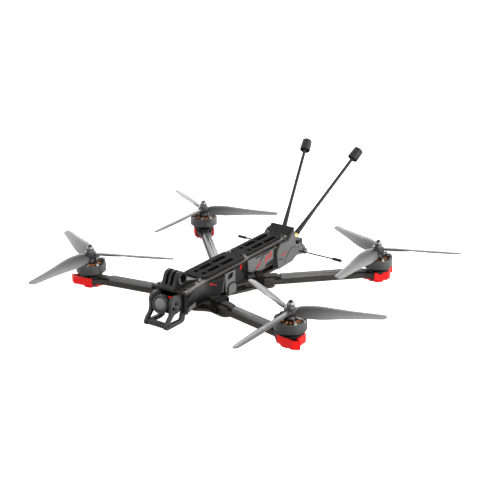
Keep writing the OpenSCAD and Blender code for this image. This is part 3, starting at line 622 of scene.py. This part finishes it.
# the slot walls of the top plate and the battery pad get painted shade
refine("top_plate", "carbon_fibre", ["carbon_fibre", "black_plastic_and_shade", "carbon_polished"], bevel=0.2,
       paint=lambda place, normal: 2 if normal.z > 0.9 else slot_shade_paint(place, normal))
refine("battery_pad", "black_rubber", ["black_rubber", "black_plastic_and_shade"], bevel=0.3, paint=slot_shade_paint)
refine("frame_screws", "bright_steel", ["dark_steel", "black_plastic_and_shade", "rim_highlight_steel"], bevel=0.12,
       paint=screw_glint_and_shade_paint, own=True)
refine("motor_screws", "bright_steel", ["dark_steel", "black_plastic_and_shade", "rim_highlight_steel"], bevel=0.15,
       paint=screw_glint_and_shade_paint, own=True)
refine("arm_clips", "dark_plastic", ["black_plastic_and_shade"], bevel=0.6, segments=3)
for corner in CORNERS:
    refine(corner + "_arm", "carbon_fibre", bevel=0.25)
    refine(corner + "_guard", "red_guard", bevel=0.7, segments=3)
    refine(corner + "_nut", "bright_steel", bevel=0.35, segments=3)

BAY_LOW = 11.5
BAY_HIGH = 31.5


def add_standoffs():
    s = Shape("grey_aluminium")
    profile = [(1.3, BAY_LOW), (2.2, BAY_LOW), (2.5, BAY_LOW + 0.3)]
    for middle in (BAY_LOW + 4, BAY_HIGH - 4):
        profile += [(2.5, middle - 0.5), (2.3, middle - 0.3), (2.3, middle + 0.3), (2.5, middle + 0.5)]
    profile += [(2.5, BAY_HIGH - 0.3), (2.2, BAY_HIGH), (1.3, BAY_HIGH)]
    for side in (-1, 1):
        for x, y in ((17.7, -121), (10.3, -87.6), (10.3, -3.5), (12.3, 76.8)):
            s.at(moved(side * x, y, 0)).lathe(profile, segments=40, loop=True)
    s.finish("standoffs_turned", "airframe", ["standoffs"])


add_standoffs()


# ---- motor leads and their braided sleeves ----

ARM_TOP = 9.0


def rounded(width, height, radius, middle=0.0, steps=3):
    """Outline of a rounded rectangle about (0, middle)."""
    points = []
    for cx, cy, start in ((1, 1, 0), (-1, 1, 90), (-1, -1, 180), (1, -1, 270)):
        for i in range(steps + 1):
            a = math.radians(start + 90 * i / steps)
            points.append((cx * (width / 2 - radius) + radius * math.cos(a),
                           middle + cy * (height / 2 - radius) + radius * math.sin(a)))
    return points


def add_sleeves():
    s = Shape("braided_sleeve")
    arcs = 44
    step = 0.45
    for corner in CORNERS:
        far, near = (80, 26) if corner.startswith("front") else (114, 30)
        s.at(arm_matrix(corner))
        rings = []
        rows = int((far - near) / step)
        for i in range(rows + 1):
            x = -far + (far - near) * i / rows
            ring = []
            for j in range(arcs + 1):
                a = math.pi * j / arcs
                knit = abs(math.sin(math.pi * (i + j) * 0.25) * math.sin(math.pi * (i - j) * 0.25))
                swell = 0.985 + 0.015 * knit
                flat = math.copysign(abs(math.cos(a)) ** 0.72, math.cos(a))
                side = 5.0 * flat
                ridge = 0.3 * (math.cos(2 * math.pi * side / 3.1) - 1) if 0.1 < a < math.pi - 0.1 else 0
                ring.append((x, side * swell, ARM_TOP + (4.4 * math.sin(a) ** 0.5 + ridge) * swell))
            for j in range(arcs, -1, -4):
                a = math.pi * j / arcs
                ring.append((x, 4.3 * math.copysign(abs(math.cos(a)) ** 0.6, math.cos(a)),
                             ARM_TOP + 0.02 + 3.5 * math.sin(a) ** 0.5))
            rings.append(ring)
        s.rings(rings, caps=False, uv_scale=(0.25, 0.25))
        for ring in (rings[0], rings[-1]):
            outer = s.points(ring[:arcs + 1])
            inner = s.points(ring[arcs + 1:])[::-1]
            for j in range(arcs):
                s.face([outer[j], outer[j + 1], inner[min((j + 1) // 4, len(inner) - 1)]])
                if j % 4 == 3:
                    s.face([outer[j], inner[(j + 1) // 4], inner[j // 4]])
    s.finish("wire_sleeves_braided", "airframe", ["wire_sleeves"], angle=60)


def add_leads():
    s = Shape("motor_lead")
    section = rounded(2.44, 2.1, 0.7)
    for corner in CORNERS:
        lobe, root = (86.6, 125) if corner.startswith("front") else (120.5, 152)
        s.at(arm_matrix(corner))
        for side in (-2.6, 0, 2.6):
            path = []
            count = int((root - 13) / 0.8)
            for i in range(count + 1):
                x = 13 + (root - 13) * i / count
                rise = min(max((x - lobe + 7.2) / 6.4, 0), 1)
                lift = ARM_TOP + 1.52 + 2.36 * (1 - math.cos(math.pi * rise)) / 2
                path.append((-x, side, lift))
            s.sweep(path, section, uv_scale=(0.7, 1.0))
    s.finish("motor_leads_insulated", "airframe", ["motor_leads"], angle=50)


add_sleeves()
add_leads()


# ---- motors ----

BELL_LOW = 16.0
HUB_Z = 31.2
# Outline of one stator tooth: radius in mm and angle in degrees from the tooth's middle
HALF_TOOTH = [(5.6, 13.5), (6.4, 11.5), (8.2, 9.5), (12.5, 6.2), (12.9, 10.6), (13.9, 11.6), (14.0, 6)]
TOOTH = [(radius, -offset) for radius, offset in HALF_TOOTH] + [(14.05, 0)] + HALF_TOOTH[::-1]
NUT_Z = 38.2


def add_stator(corner):
    s = Shape("shade_dark_base_metal", "motor_core", "motor_windings")
    s.at(axis_matrix(corner))
    # base and shaft under the bell: near black, painted shade
    s.lathe([(2.6, 9), (12.1, 9), (12.4, 9.3), (12.4, 10.9), (12, 11.6), (7.5, 11.6), (6.8, 12.2),
             (4.7, 12.6), (4.6, 26.4), (4.3, 26.8), (2.6, 26.8)], 0, 72, loop=True)
    for turn in (45, 135, 225, 315):
        s.at(axis_matrix(corner) @ turned(turn) @ moved(9.6, 0, 11.61))
        s.lathe([(0, 0), (1.6, 0), (1.6, 0.12), (1.25, 0.12), (0.9, 0), (0, 0)], 1, 20)
    s.at(axis_matrix(corner))
    outline = []
    for i in range(12):
        middle = math.radians(i * 30)
        for radius, offset in TOOTH:
            angle = middle + math.radians(offset)
            outline.append((radius * math.cos(angle), radius * math.sin(angle)))
    s.prism(outline, BELL_LOW + 1.2, BELL_LOW + 9.8, 1)
    wire = circle(0.36, 6)
    for i in range(12):
        for turn in range(6):
            radius = 7.7 + turn * 0.78
            half = 1.35 + 0.07 * turn
            loop = []
            for a, b in rounded(2 * half, 9.5, 0.8, BELL_LOW + 5.5, steps=2):
                loop.append((radius, a, b))
            s.at(axis_matrix(corner) @ turned(i * 30))
            s.sweep(loop, wire, 2, closed=True, up=(1, 0, 0))
    s.finish(corner + "_wound_stator", "airframe", [corner + "_stator"], angle=40)


def add_bell(corner):
    s = Shape("motor_bell", "machined", "magnet", "dark_steel")
    base = axis_matrix(corner)
    s.at(base)
    s.lathe([(15, BELL_LOW), (16.5, BELL_LOW), (16.8, BELL_LOW + 0.1), (17, BELL_LOW + 0.4), (17, 26.2),
             (16.93, 26.55), (16.7, 26.8), (16.3, 26.95), (15.4, 27), (15, 26.9)], 0, 96, loop=True)
    s.lathe([(2.6, 27.6), (6.9, 27.6), (7.2, 27.9), (7.2, 29.4), (6.8, 29.9), (6.0, 30.2), (6.0, 30.9),
             (5.7, HUB_Z), (2.6, HUB_Z)], 1, 72, loop=True)
    for i in range(9):
        s.at(base @ turned(i * 40 + 90))
        spoke = [(-6.4, 27.9), (-6.4, 29.35), (-13.4, 29.55), (-14.8, 29.3), (-15.9, 28.6), (-16.6, 27.6),
                 (-16.8, 26.6), (-15.6, 26.5), (-15, 27.3), (-14.2, 27.9)]
        s.prism(spoke, -1.15, 1.15, 1, bevel=0.3, axis="X")
    for i in range(14):
        s.at(base @ turned(i * 360 / 14))
        arc = [(14.99 * math.cos(a), 14.99 * math.sin(a)) for a in (-0.19, -0.095, 0, 0.095, 0.19)]
        arc += [(14.45 * math.cos(a), 14.45 * math.sin(a)) for a in (0.19, 0.095, 0, -0.095, -0.19)]
        s.prism(arc, 17, 26.6, 2)
    s.at(base)
    thread = [(2.5, 9.8), (2.5, NUT_Z - 0.4)]
    for i in range(9):
        z = NUT_Z - 0.4 + i * 0.8
        thread += [(2.28, z + 0.2), (2.48, z + 0.45), (2.48, z + 0.6)]
    s.lathe([(0, 9.7), (2.3, 9.7)] + thread + [(2.3, 45.3), (2.3, 46), (2.0, 46.3), (1.3, 46.3), (1.3, 44.9),
                                             (0, 44.9)], 3, 32)
    s.finish(corner + "_turned_bell", corner + "_rotor", [corner + "_bell"], angle=30)


BLADE_CHORDS = [(5.5, 12), (9, 15), (13, 16.6), (22, 17.6), (31, 18), (45, 16.4), (60, 13.8), (75, 11.6),
                (85, 10.2), (92, 8.8), (95.1, 7.8)]
BLADE_PITCHES = [(5.5, 24), (20, 27), (31, 25), (45, 18.5), (60, 14), (75, 11), (95.1, 9)]
BLADE_DEPTHS = [(5.5, 4.2), (20, 3.9), (45, 3.1), (75, 2.4), (95.1, 1.6)]
PROP_R = 95.25


def smooth_lookup(table, x):
    """A value read from a table with a smooth curve through its points."""
    last = len(table) - 1
    i = 0
    while i < last - 1 and x > table[i + 1][0]:
        i += 1
    x0, y0 = table[i]
    x1, y1 = table[i + 1]
    before = table[max(i - 1, 0)]
    after = table[min(i + 2, last)]
    slope0 = (y1 - before[1]) / (x1 - before[0])
    slope1 = (after[1] - y0) / (after[0] - x0)
    width = x1 - x0
    t = min(max((x - x0) / width, 0), 1)
    return ((2 * t ** 3 - 3 * t * t + 1) * y0 + (t ** 3 - 2 * t * t + t) * width * slope0
            + (3 * t * t - 2 * t ** 3) * y1 + (t ** 3 - t * t) * width * slope1)


def blade_section(r, steps):
    chord = smooth_lookup(BLADE_CHORDS, r)
    if r > 91:
        chord *= max(1 - ((r - 91) / 4.15) ** 3, 0.04) ** 0.5
    pitch = math.radians(smooth_lookup(BLADE_PITCHES, r))
    depth = smooth_lookup(BLADE_DEPTHS, r)
    sweep = 0.5 - 0.16 * (r / PROP_R) ** 2
    droop = 2 * (r / PROP_R) ** 1.5
    ring = []
    for j in range(2 * steps):
        upper = j <= steps
        u = j / steps if upper else 2 - j / steps
        edge = math.sqrt(max(math.sin(math.pi * min(max(u, 0), 1)), 0)) * 0.12
        x = (u - sweep) * chord
        camber = chord * 0.05 * math.sin(math.pi * u)
        if upper:
            y = camber + depth * (edge + 0.88 * max(math.sin(math.pi * u ** 0.75), 0)) / 2
        else:
            y = camber - depth * (edge / 2 + 0.2 * math.sin(math.pi * u))
        ring.append((r, x * math.cos(pitch) + y * math.sin(pitch),
                     y * math.cos(pitch) - x * math.sin(pitch) - droop))
    return ring


def add_propeller(corner):
    s = Shape("smoked_plastic")
    base = axis_matrix(corner)
    mirror = flipped("Y") if corner.startswith("front") else Matrix.Identity(4)
    s.at(base)
    hub = [(2.56, 0), (6.5, 0), (6.9, 0.2), (7, 0.6), (7, 6.2), (6.8, 6.7), (6.3, 6.95), (5.4, 7), (2.56, 7)]
    s.lathe([(radius, HUB_Z + height) for radius, height in hub], 0, 72, loop=True)
    stations = [5.5 + 89.6 * (1 - math.cos(math.pi * i / 64)) / 2 for i in range(65)]
    for angle in (30, 150, 270):
        s.at(base @ turned(angle) @ mirror @ moved(0, 0, HUB_Z + 3.1))
        s.rings([blade_section(r, 14) for r in stations], uv_scale=(1 / 64, 1 / 28))
    s.finish(corner + "_moulded_propeller", corner + "_rotor", [corner + "_propeller"],
             angle=50)


for corner in CORNERS:
    add_stator(corner)
    add_bell(corner)
    add_propeller(corner)


# ---- nose cage and camera ----

def cage_shade_paint(place, normal):
    """Painted shade: black on the inner sides, which face the camera and lie in the shade between the frame
    and the camera.
    """
    return 1 if normal.x * place.x < 0 and abs(normal.x) > 0.8 else 0


for side in ("left", "right"):
    # inner sides of the cage frames: painted shade
    refine(side + "_cage_frame", "grey_tpu", ["grey_tpu", "black_plastic_and_shade"], bevel=0.5, segments=3,
           paint=cage_shade_paint)
refine("cage_bar", "grey_tpu", bevel=0.6, segments=3)
refine("camera_cheeks", "light_plastic", ["cheek_plastic"], bevel=0.3)
refine("camera_screws", "dark_plastic", ["dark_steel"], bevel=0.25, segments=3)
refine("camera_housing", "camera_body", bevel=0.7, segments=3)


def mount_shade_paint(place, normal):
    """Painted shade: black inside the two slots and the bolt's recess, where shade falls; paler on the ring
    round the recess.
    """
    slot = 1.4 < abs(place.x) < 5.0 and place.z > 39
    near = math.hypot(place.y + 115, place.z - 45)
    # painted shade in the slots and the recess
    if (slot and (abs(normal.x) > 0.9 or place.z < 41)) or near < 4.9:
        return 1
    return 2 if near < 6.8 and place.x > 7.7 else 0


refine("action_camera_mount", "grey_tpu", ["mount_tpu", "black_plastic_and_shade", "cheek_plastic"], bevel=0.4,
       segments=3, paint=mount_shade_paint)

CAMERA = moved(0, -132, 23.6) @ turned(-16, "X")


def add_lens():
    s = Shape("lens_ring", "dark_steel")
    s.at(CAMERA @ moved(0, -4.7, -3.4) @ turned(90, "X"))
    s.lathe([(0, 0), (8.1, 0), (8.2, 0.1), (8.2, 0.6), (9.3, 0.9), (9.7, 1.1), (9.7, 1.5), (9.45, 1.6),
             (9.45, 3.2), (9.7, 3.3), (9.7, 3.8), (9.5, 4.2), (8.9, 4.4), (8.0, 4.4), (7.75, 4.15),
             (7.5, 4.4), (7.25, 4.4), (7.2, 4.3), (7.2, 3.2), (0, 3.2)], 0, 96)
    for i in range(60):
        s.at(CAMERA @ moved(0, -4.7, -3.4) @ turned(90, "X") @ turned(i * 6))
        s.block((9.4, -0.26, 1.65), (9.62, 0.26, 3.15), 1, bevel=0.06, segments=1)
    s.finish("lens_ring_knurled", "camera", ["camera_lens"], angle=30)
    g = Shape("lens_glass")
    g.at(CAMERA @ moved(0, -7.9, -3.4) @ turned(90, "X"))
    bends = [math.pi / 2 * i / 16 for i in range(17)]
    dome = [(7.15 * math.sin(bend), 0.25 + 1.25 * math.cos(bend)) for bend in bends]
    g.lathe(dome + [(7.15, 0), (0, 0)], 0, 96)
    g.finish("lens_dome", "camera", ["lens_glass"], angle=60)


def add_camera_details():
    s = Shape("dark_plastic", "light_plastic", "mark_red", "dark_steel")
    s.at(CAMERA)
    s.block((-5.2, -4.2, 4.3), (0.4, -1.2, 5.9), 1, bevel=0.2)
    s.block((1.2, -2.9, 4.3), (4.6, 2.2, 5.5), 0, bevel=0.25)
    s.block((5.4, -3.4, 4.3), (8.6, 0.4, 6.2), 2, bevel=0.3)
    for x in (-7.6, 7.6):
        for z in (-10, 3):
            s.at(CAMERA @ moved(x, -3.45, z) @ turned(90, "X"))
            s.lathe([(0, -0.4), (1.1, -0.4), (1.1, 0.25), (0.9, 0.45), (0.5, 0.45), (0.45, 0.1), (0, 0.1)],
                    3, 24)
    for z in (-8.5, -6.5, -4.5, -2.5, -0.5):
        for side in (-1, 1):
            s.at(CAMERA)
            x = side * 9.4
            s.block((min(x, x + side * 0.25), 5.5, z), (max(x, x + side * 0.25), 10.6, z + 0.8), 0, bevel=0.1)
    s.finish("camera_details", "camera", angle=30)


add_lens()
add_camera_details()


# ---- side covers, painted and marked ----

NOSE = [(-119.4, 12), (-119.4, 24.2), (-112.2, 28.3), (-104, 31.6), (-69.6, 31.6), (-78.7, 17), (-80.8, 12)]
FLANK = [(-79.7, 16.4), (-71, 30.9), (-51.8, 28.2), (-50.8, 24), (-54.3, 9.3), (-79.2, 12)]
PORT = [(-51.8, 31), (-32.3, 30.3), (-32.3, 3.8), (-38, 3), (-46.2, 3.8), (-50.2, 9)]
MIDDLE = [(-32.1, 30.5), (-22.3, 29.2), (-21.6, 25), (-10.2, 12.3), (-20, 12), (-31.7, 12)]
WEDGE = [(-118.9, 12), (-117.2, 15.6), (-105.8, 17.5), (-105.8, 12)]
FLAT = [(-6.8, 31.5), (5, 31.5), (22, 30.8), (45.3, 29.8), (44.7, 10.7), (8, 11.9), (-5.8, 17.4)]
TAIL = [(60, 31.5), (53.1, 25.1), (52.7, 21), (53.7, 11), (55.7, -0.3), (88.2, 0.7), (90.3, 2.8),
        (99.3, 5.3), (101.3, 8.5), (97.6, 16.7), (90.8, 27), (92.8, 31.6), (91.2, 37.7), (85.8, 37.8),
        (81.8, 35.2), (77.8, 31.5)]


def front_paint(place, normal):
    """Material slot of each raised panel of the front cover; the port's window walls stay black."""
    x = abs(place.x)
    spot = (place.y, place.z)
    if x > 19.15 and inside(spot, WEDGE):
        return 1
    if x > 16.95:
        for slot, outline in ((1, PORT), (2, NOSE), (3, FLANK), (4, MIDDLE)):
            if inside(spot, outline):
                if slot == 1 and abs(normal.x) < 0.3 and -47 < place.y < -36 and place.z > 21:
                    return 0
                return slot
    return 0


def rear_paint(place, normal):
    """Light panels on a black backing."""
    spot = (place.y, place.z)
    if abs(place.x) > 16.0 and inside(spot, TAIL):
        return 1
    if abs(place.x) > 16.95 and inside(spot, FLAT):
        return 2
    return 0


def stroke(points, width):
    """Outline of a ribbon of that width along [y, z] points, pointed a little at its ends."""
    lefts = []
    rights = []
    for i, p in enumerate(points):
        p = Vector(p)
        ahead = Vector(points[min(i + 1, len(points) - 1)]) - Vector(points[max(i - 1, 0)])
        ahead.normalize()
        side = Vector((-ahead.y, ahead.x)) * width / 2
        if i in (0, len(points) - 1):
            side *= 0.55
        lefts.append(tuple(p + side))
        rights.append(tuple(p - side))
    return lefts + rights[::-1]


FACE = {"nose": 19.1, "flank": 18.1, "port": 18.9, "back": 16.9, "flat": 18.1, "tail": 18.1}
RED, DARK, MID, GLASS, STEEL, TAN = range(6)
MARKS = [
    ("nose", RED, [(-80, 28.6), (-78.4, 29.4), (-74.6, 26.6), (-76.2, 25.8)]),
    ("flank", RED, [(-73.4, 26), (-72.6, 26.4), (-66, 22.9), (-66.8, 22.4)]),
    ("flank", MID, [(-53.6, 27.9), (-52.4, 27.8), (-51.6, 24), (-54.8, 10), (-56.4, 10.3), (-53.2, 24)]),
    ("flank", DARK, [(-71.4, 29.8), (-55.2, 27.4), (-55, 25.4), (-72.4, 26.8)]),
    ("port", DARK, [(-48.4, 4.7), (-48.4, 13.8), (-44.4, 17.3), (-35.2, 17.3), (-32.7, 14.8), (-32.7, 4.7)]),
    ("back", RED, [(-21.2, 29.6), (-16.6, 30.1), (-20.4, 23)]),
    ("flat", DARK, stroke([(24.6, 26.8), (21.6, 26.2), (16.5, 20.5), (9.6, 17), (7.4, 13)], 1.9)),
    ("flat", RED, stroke([(18.8, 23.8), (16.6, 20.4), (13, 19.6), (8.9, 15.4)], 1.7)),
    ("flat", DARK, [(27.4, 11.8), (30.6, 16), (44.6, 17.6), (44.5, 11.4)]),
    ("flat", RED, [(26.6, 18.2), (29.4, 18.4), (34, 26.6), (31.2, 26.4)]),
    ("flat", RED, [(34.6, 19.4), (37.4, 19.6), (42, 27.8), (39.2, 27.6)]),
    ("flat", DARK, [(7, 30.9), (9, 28.8), (35.4, 27.9), (38, 29.6), (22, 30.3)]),
    ("flat", TAN, [(17.6, 29.1), (19.6, 29.3), (19.4, 29.9), (17.8, 29.7)]),
    ("back", TAN, [(46.2, 28.6), (48.4, 28.9), (48.4, 29.9), (46.4, 29.5)]),
    ("back", TAN, [(49.4, 29.4), (51.6, 29.2), (51.4, 30.6), (49.8, 30.5)]),
    ("tail", DARK, stroke([(53.6, 11.6), (59, 12.6), (62, 10.4), (66.4, 11.8)], 1.0)),
    ("tail", RED, stroke([(61.6, 14.6), (66, 16.4), (67.4, 15.4), (73.4, 18.6)], 1.4)),
    ("tail", DARK, stroke([(68.6, 3.6), (70.2, 8), (76.2, 13), (81.8, 18), (87, 19), (90.4, 17.6),
                           (94.4, 17.4)], 1.1)),
    ("tail", DARK, stroke([(60.4, 30.4), (77.8, 30.4), (82, 34), (86, 36.6), (90.6, 36.6)], 1.3)),
    ("tail", DARK, stroke([(60, 30.6), (54.2, 25), (53.9, 21)], 1.3)),
]


def add_markings(side):
    s = Shape("mark_red", "mark_dark", "cheek_plastic", "chip", "bright_steel", "tan_part")
    s.at(Matrix.Identity(4) if side == "left" else flipped("X"))
    for face, slot, outline in MARKS:
        x = FACE[face]
        lift = 0.14 if slot in (RED, TAN) else 0.1
        s.prism(outline, x - 0.05, x + lift, slot, axis="X")
    pane = [(-48, 28.8), (-36.4, 29.2), (-35.8, 26), (-38.2, 21.6), (-47, 21)]
    s.prism(pane, 16.35, 16.55, GLASS, axis="X")
    for y, z, width in ((-43.6, 25.8, 3.4), (-39.6, 25.9, 2.2)):
        ring = rounded(width, 1.9, 0.8, steps=3)
        hole = rounded(width - 0.7, 1.2, 0.5, steps=3)
        outer = [(y + a, z + b) for a, b in ring]
        inner = [(y + a, z + b) for a, b in hole]
        s.rings([[(16.5, *p) for p in outer], [(17.3, *p) for p in outer], [(17.3, *p) for p in inner],
                 [(16.5, *p) for p in inner]], STEEL, caps=False)
    s.finish(side + "_cover_marks", "airframe", angle=30)


for side in ("left", "right"):
    refine(side + "_front_cover", "grey_tpu",
           ["black_plastic_and_shade", "light_plastic", "nose_plastic", "flank_plastic", "dark_plastic"],
           bevel=0.22, paint=front_paint)
    refine(side + "_rear_cover", "light_plastic", ["black_plastic_and_shade", "light_plastic", "light_plastic"],
           bevel=0.22, paint=rear_paint)
    add_markings(side)
refine("tail_cover", "dark_plastic", bevel=0.25)
refine("antenna_bracket", "light_plastic", bevel=0.35)
refine("gps_module", "dark_plastic", bevel=1.1, segments=4)


# ---- antennas ----

def antenna_matrix(side):
    base = moved(9.6, 108.5, 28) @ turned(-15.9) @ turned(40.4 - 90, "X")
    return base if side == "left" else flipped("X") @ base


def add_antenna(side):
    s = Shape("antenna_black")
    s.at(antenna_matrix(side))
    profile = [(0, 0), (3, 0), (3.2, 0.3), (3.2, 4.6), (3.1, 5)]
    for i in range(9):
        z = 6.5 + i * 2.1
        radius = 3.1 - 1.05 * (z - 5) / 35
        profile += [(radius, z - 0.5), (radius - 0.2, z - 0.25), (radius - 0.2, z + 0.25), (radius, z + 0.5)]
    profile += [(2.05, 40), (2.02, 70), (2.02, 118.4), (2.3, 120.6), (2.6, 121), (4.6, 121), (4.9, 120.6),
                (5.1, 119.4), (5.6, 119.05), (6.2, 119.2), (6.5, 119.8), (6.42, 124.4), (6.28, 124.55),
                (6.28, 124.8), (6.42, 124.95), (6.25, 132.9), (6.0, 133.8), (5.4, 134.35), (4.4, 134.5),
                (0, 134.5)]
    s.lathe(profile, 0, 48)
    s.finish(side + "_whip_antenna", "airframe", [side + "_antenna"], angle=35)


def add_connectors():
    s = Shape("brass")
    for side in ("left", "right"):
        s.at(antenna_matrix(side))
        profile = [(1.6, -16), (2.9, -16)]
        for i in range(18):
            z = -15.8 + i * 0.6
            profile += [(3.1, z + 0.1), (3.1, z + 0.25), (2.85, z + 0.42)]
        profile += [(2.9, -4.9), (2.9, -2.7), (2.9, -0.3), (2.7, -0.02), (1.6, -0.02)]
        s.lathe(profile, 0, 32, loop=True)
        s.prism(circle(4.35, 6), -4.9, -2.7, 0, bevel=0.25)
    s.finish("threaded_connectors", "airframe", ["antenna_connectors"], angle=30)


def add_receiver_antenna():
    s = Shape("antenna_black")
    s.at(moved(0, 105.9, 7.5) @ turned(90, "Y"))
    profile = [(0, -74.6), (1.5, -74.5), (1.88, -74), (1.88, -64.4), (1.8, -64), (1.0, -61.3), (0.88, -60.9)]
    half = profile + [(0.88, -30), (0.9, -14)]
    s.lathe(half + [(r, -z) for r, z in half[::-1]], 0, 20)
    s.finish("receiver_antenna_wire", "airframe", ["receiver_antenna"], angle=40)


for side in ("left", "right"):
    add_antenna(side)
add_connectors()
add_receiver_antenna()


# ---- electronics bay ----

def board_paint(top):
    """Parts that stand above the board's own top face are chips."""
    return lambda place, normal: 1 if place.z > top + 0.12 else 0


for board, top in (("flight_controller", 26.1), ("speed_controller", 17.1), ("receiver", 12.9)):
    refine(board, "circuit_board", ["circuit_board", "chip"], bevel=0.12, paint=board_paint(top))
refine("video_transmitter", "grey_aluminium", ["heat_sink"], bevel=0.3)


def add_stack_mounts():
    s = Shape("bright_steel", "black_rubber")
    for sx in (-10, 10):
        for sy in (-52, -32):
            s.at(moved(sx, sy, 0))
            s.lathe([(0, 9), (1.4, 9), (1.4, 27), (1.2, 27.5), (0, 27.5)], 0, 24)
            for low, high in ((11.5, 15.5), (17.1, 24.5)):
                middle = (low + high) / 2
                s.lathe([(1.42, low), (2.4, low), (2.6, low + 0.3), (2.6, middle - 0.7), (2.1, middle - 0.4),
                         (2.1, middle + 0.4), (2.6, middle + 0.7), (2.6, high - 0.3), (2.4, high),
                         (1.42, high)], 1, 28, loop=True)
            s.prism(circle(2.6, 6), 26.1, 27.4, 0, bevel=0.2)
    s.finish("stack_mounts_detailed", "airframe", ["stack_mounts"], angle=30)


def add_capacitor():
    s = Shape("chip", "solder")
    s.at(moved(0, 50, 16.7) @ turned(-90, "X"))
    s.lathe([(0, 0), (4.2, 0), (4.7, 0.2), (5, 0.7), (5, 2.2), (4.7, 2.5), (4.7, 2.9), (5, 3.2), (5, 21.4),
             (4.7, 21.9), (4.1, 22), (4.0, 21.8), (0, 21.8)], 0, 48, slots=lambda i, j: 1 if i > 10 else 0)
    s.finish("capacitor_can", "airframe", ["capacitor"], angle=30)


def add_board_parts():
    s = Shape("chip", "solder", "tan_part")
    for row in range(6):
        for column in range(7):
            if (row * 7 + column * 3) % 4 == 0:
                continue
            x = -11 + column * 3.6
            y = -53 + row * 4.2
            if abs(x) < 5.4 and -58 < y < -37:
                continue
            if abs(abs(x) - 10) < 3.6 and (abs(y + 52) < 3.6 or abs(y + 32) < 3.6):
                continue
            kind = (row + column) % 3
            s.block((x, y, 26), (x + 1.6, y + 0.9, 26.7), kind, bevel=0.12, segments=1)
    for column in range(8):
        x = -10.5 + column * 2.8
        for low, high in ((-61, -58.6), (-25.6, -23.4)):
            s.block((x, low, 17.05), (x + 1.5, high, 17.4), 1, bevel=0.12, segments=1)
    s.finish("board_parts", "airframe", angle=30)


add_stack_mounts()
add_capacitor()
add_board_parts()


# ---- floor and light ----

def add_floor():
    mesh = bpy.data.meshes.new("floor")
    size = 6
    z = -1.55 * MM
    corners = [(-size, -size, z), (size, -size, z), (size, size, z), (-size, size, z)]
    mesh.from_pydata(corners, [], [(0, 1, 2, 3)])
    s = Shader("floor_paper", Emission_Color=(1, 1, 1, 1), Emission_Strength=1.0)
    s.colour(s.mix(s.noise(4, 2), grey(0.86), grey(0.9)))
    s.scuff(300, 2, 0.85, 0.95)
    mesh.materials.append(s.material)
    floor = placed("floor", mesh)
    floor.visible_diffuse = False
    floor.visible_glossy = False


def add_light(name, place, target, size, power):
    data = bpy.data.lights.new(name, "AREA")
    data.shape = "RECTANGLE"
    data.size, data.size_y = size
    data.energy = power
    lamp = placed(name, data)
    lamp.location = place
    lamp.rotation_euler = (Vector(target) - Vector(place)).to_track_quat("-Z", "Y").to_euler()


def add_world():
    """A studio that is brightest behind and to the right, and dimmer overhead and underneath."""
    world = bpy.data.worlds.new("studio")
    world.use_nodes = True
    bpy.context.scene.world = world
    tree = world.node_tree

    def add(kind, inputs, **settings):
        made = tree.nodes.new(kind)
        for key, value in settings.items():
            setattr(made, key, value)
        for key, value in inputs.items():
            if isinstance(value, bpy.types.NodeSocket):
                tree.links.new(value, made.inputs[key])
            else:
                made.inputs[key].default_value = value
        return made.outputs

    def span(value, low, high, to_low, to_high):
        return add("ShaderNodeMapRange", {"Value": value, "From Min": low, "From Max": high,
                                          "To Min": to_low, "To Max": to_high},
                   interpolation_type="SMOOTHSTEP")["Result"]

    direction = tree.nodes.new("ShaderNodeTexCoord").outputs["Generated"]
    height = add("ShaderNodeSeparateXYZ", {0: direction})["Z"]
    behind, right = (add("ShaderNodeVectorMath", {0: direction, 1: toward}, operation="DOT_PRODUCT")["Value"]
                     for toward in ((-0.57, 0.82, 0), (0.9, 0.42, 0)))
    ring = add("ShaderNodeMath", {0: span(behind, -0.6, 0.9, 1.2, 1.8), 1: span(right, 0.35, 0.95, 0, 1.5)},
               operation="ADD")["Value"]
    above = span(height, 0.25, 1.0, 1.0, 0.55)
    below = span(height, -0.55, 0.08, 0.14, 1.0)
    tall = add("ShaderNodeMath", {0: above, 1: below}, operation="MULTIPLY")["Value"]
    strength = add("ShaderNodeMath", {0: ring, 1: tall}, operation="MULTIPLY")["Value"]
    tree.links.new(strength, tree.nodes["Background"].inputs["Strength"])
    tree.nodes["Background"].inputs["Color"].default_value = (1, 1, 1, 1)


add_floor()
add_world()
add_light("right_window", (1.35, -0.1, 0.55), (0, 0, 0.02), (0.9, 0.7), 7)
add_light("back_strip", (-0.75, 1.5, 0.55), (0, 0, 0.02), (1.6, 0.4), 5)
bpy.context.scene.view_settings.view_transform = "Standard"
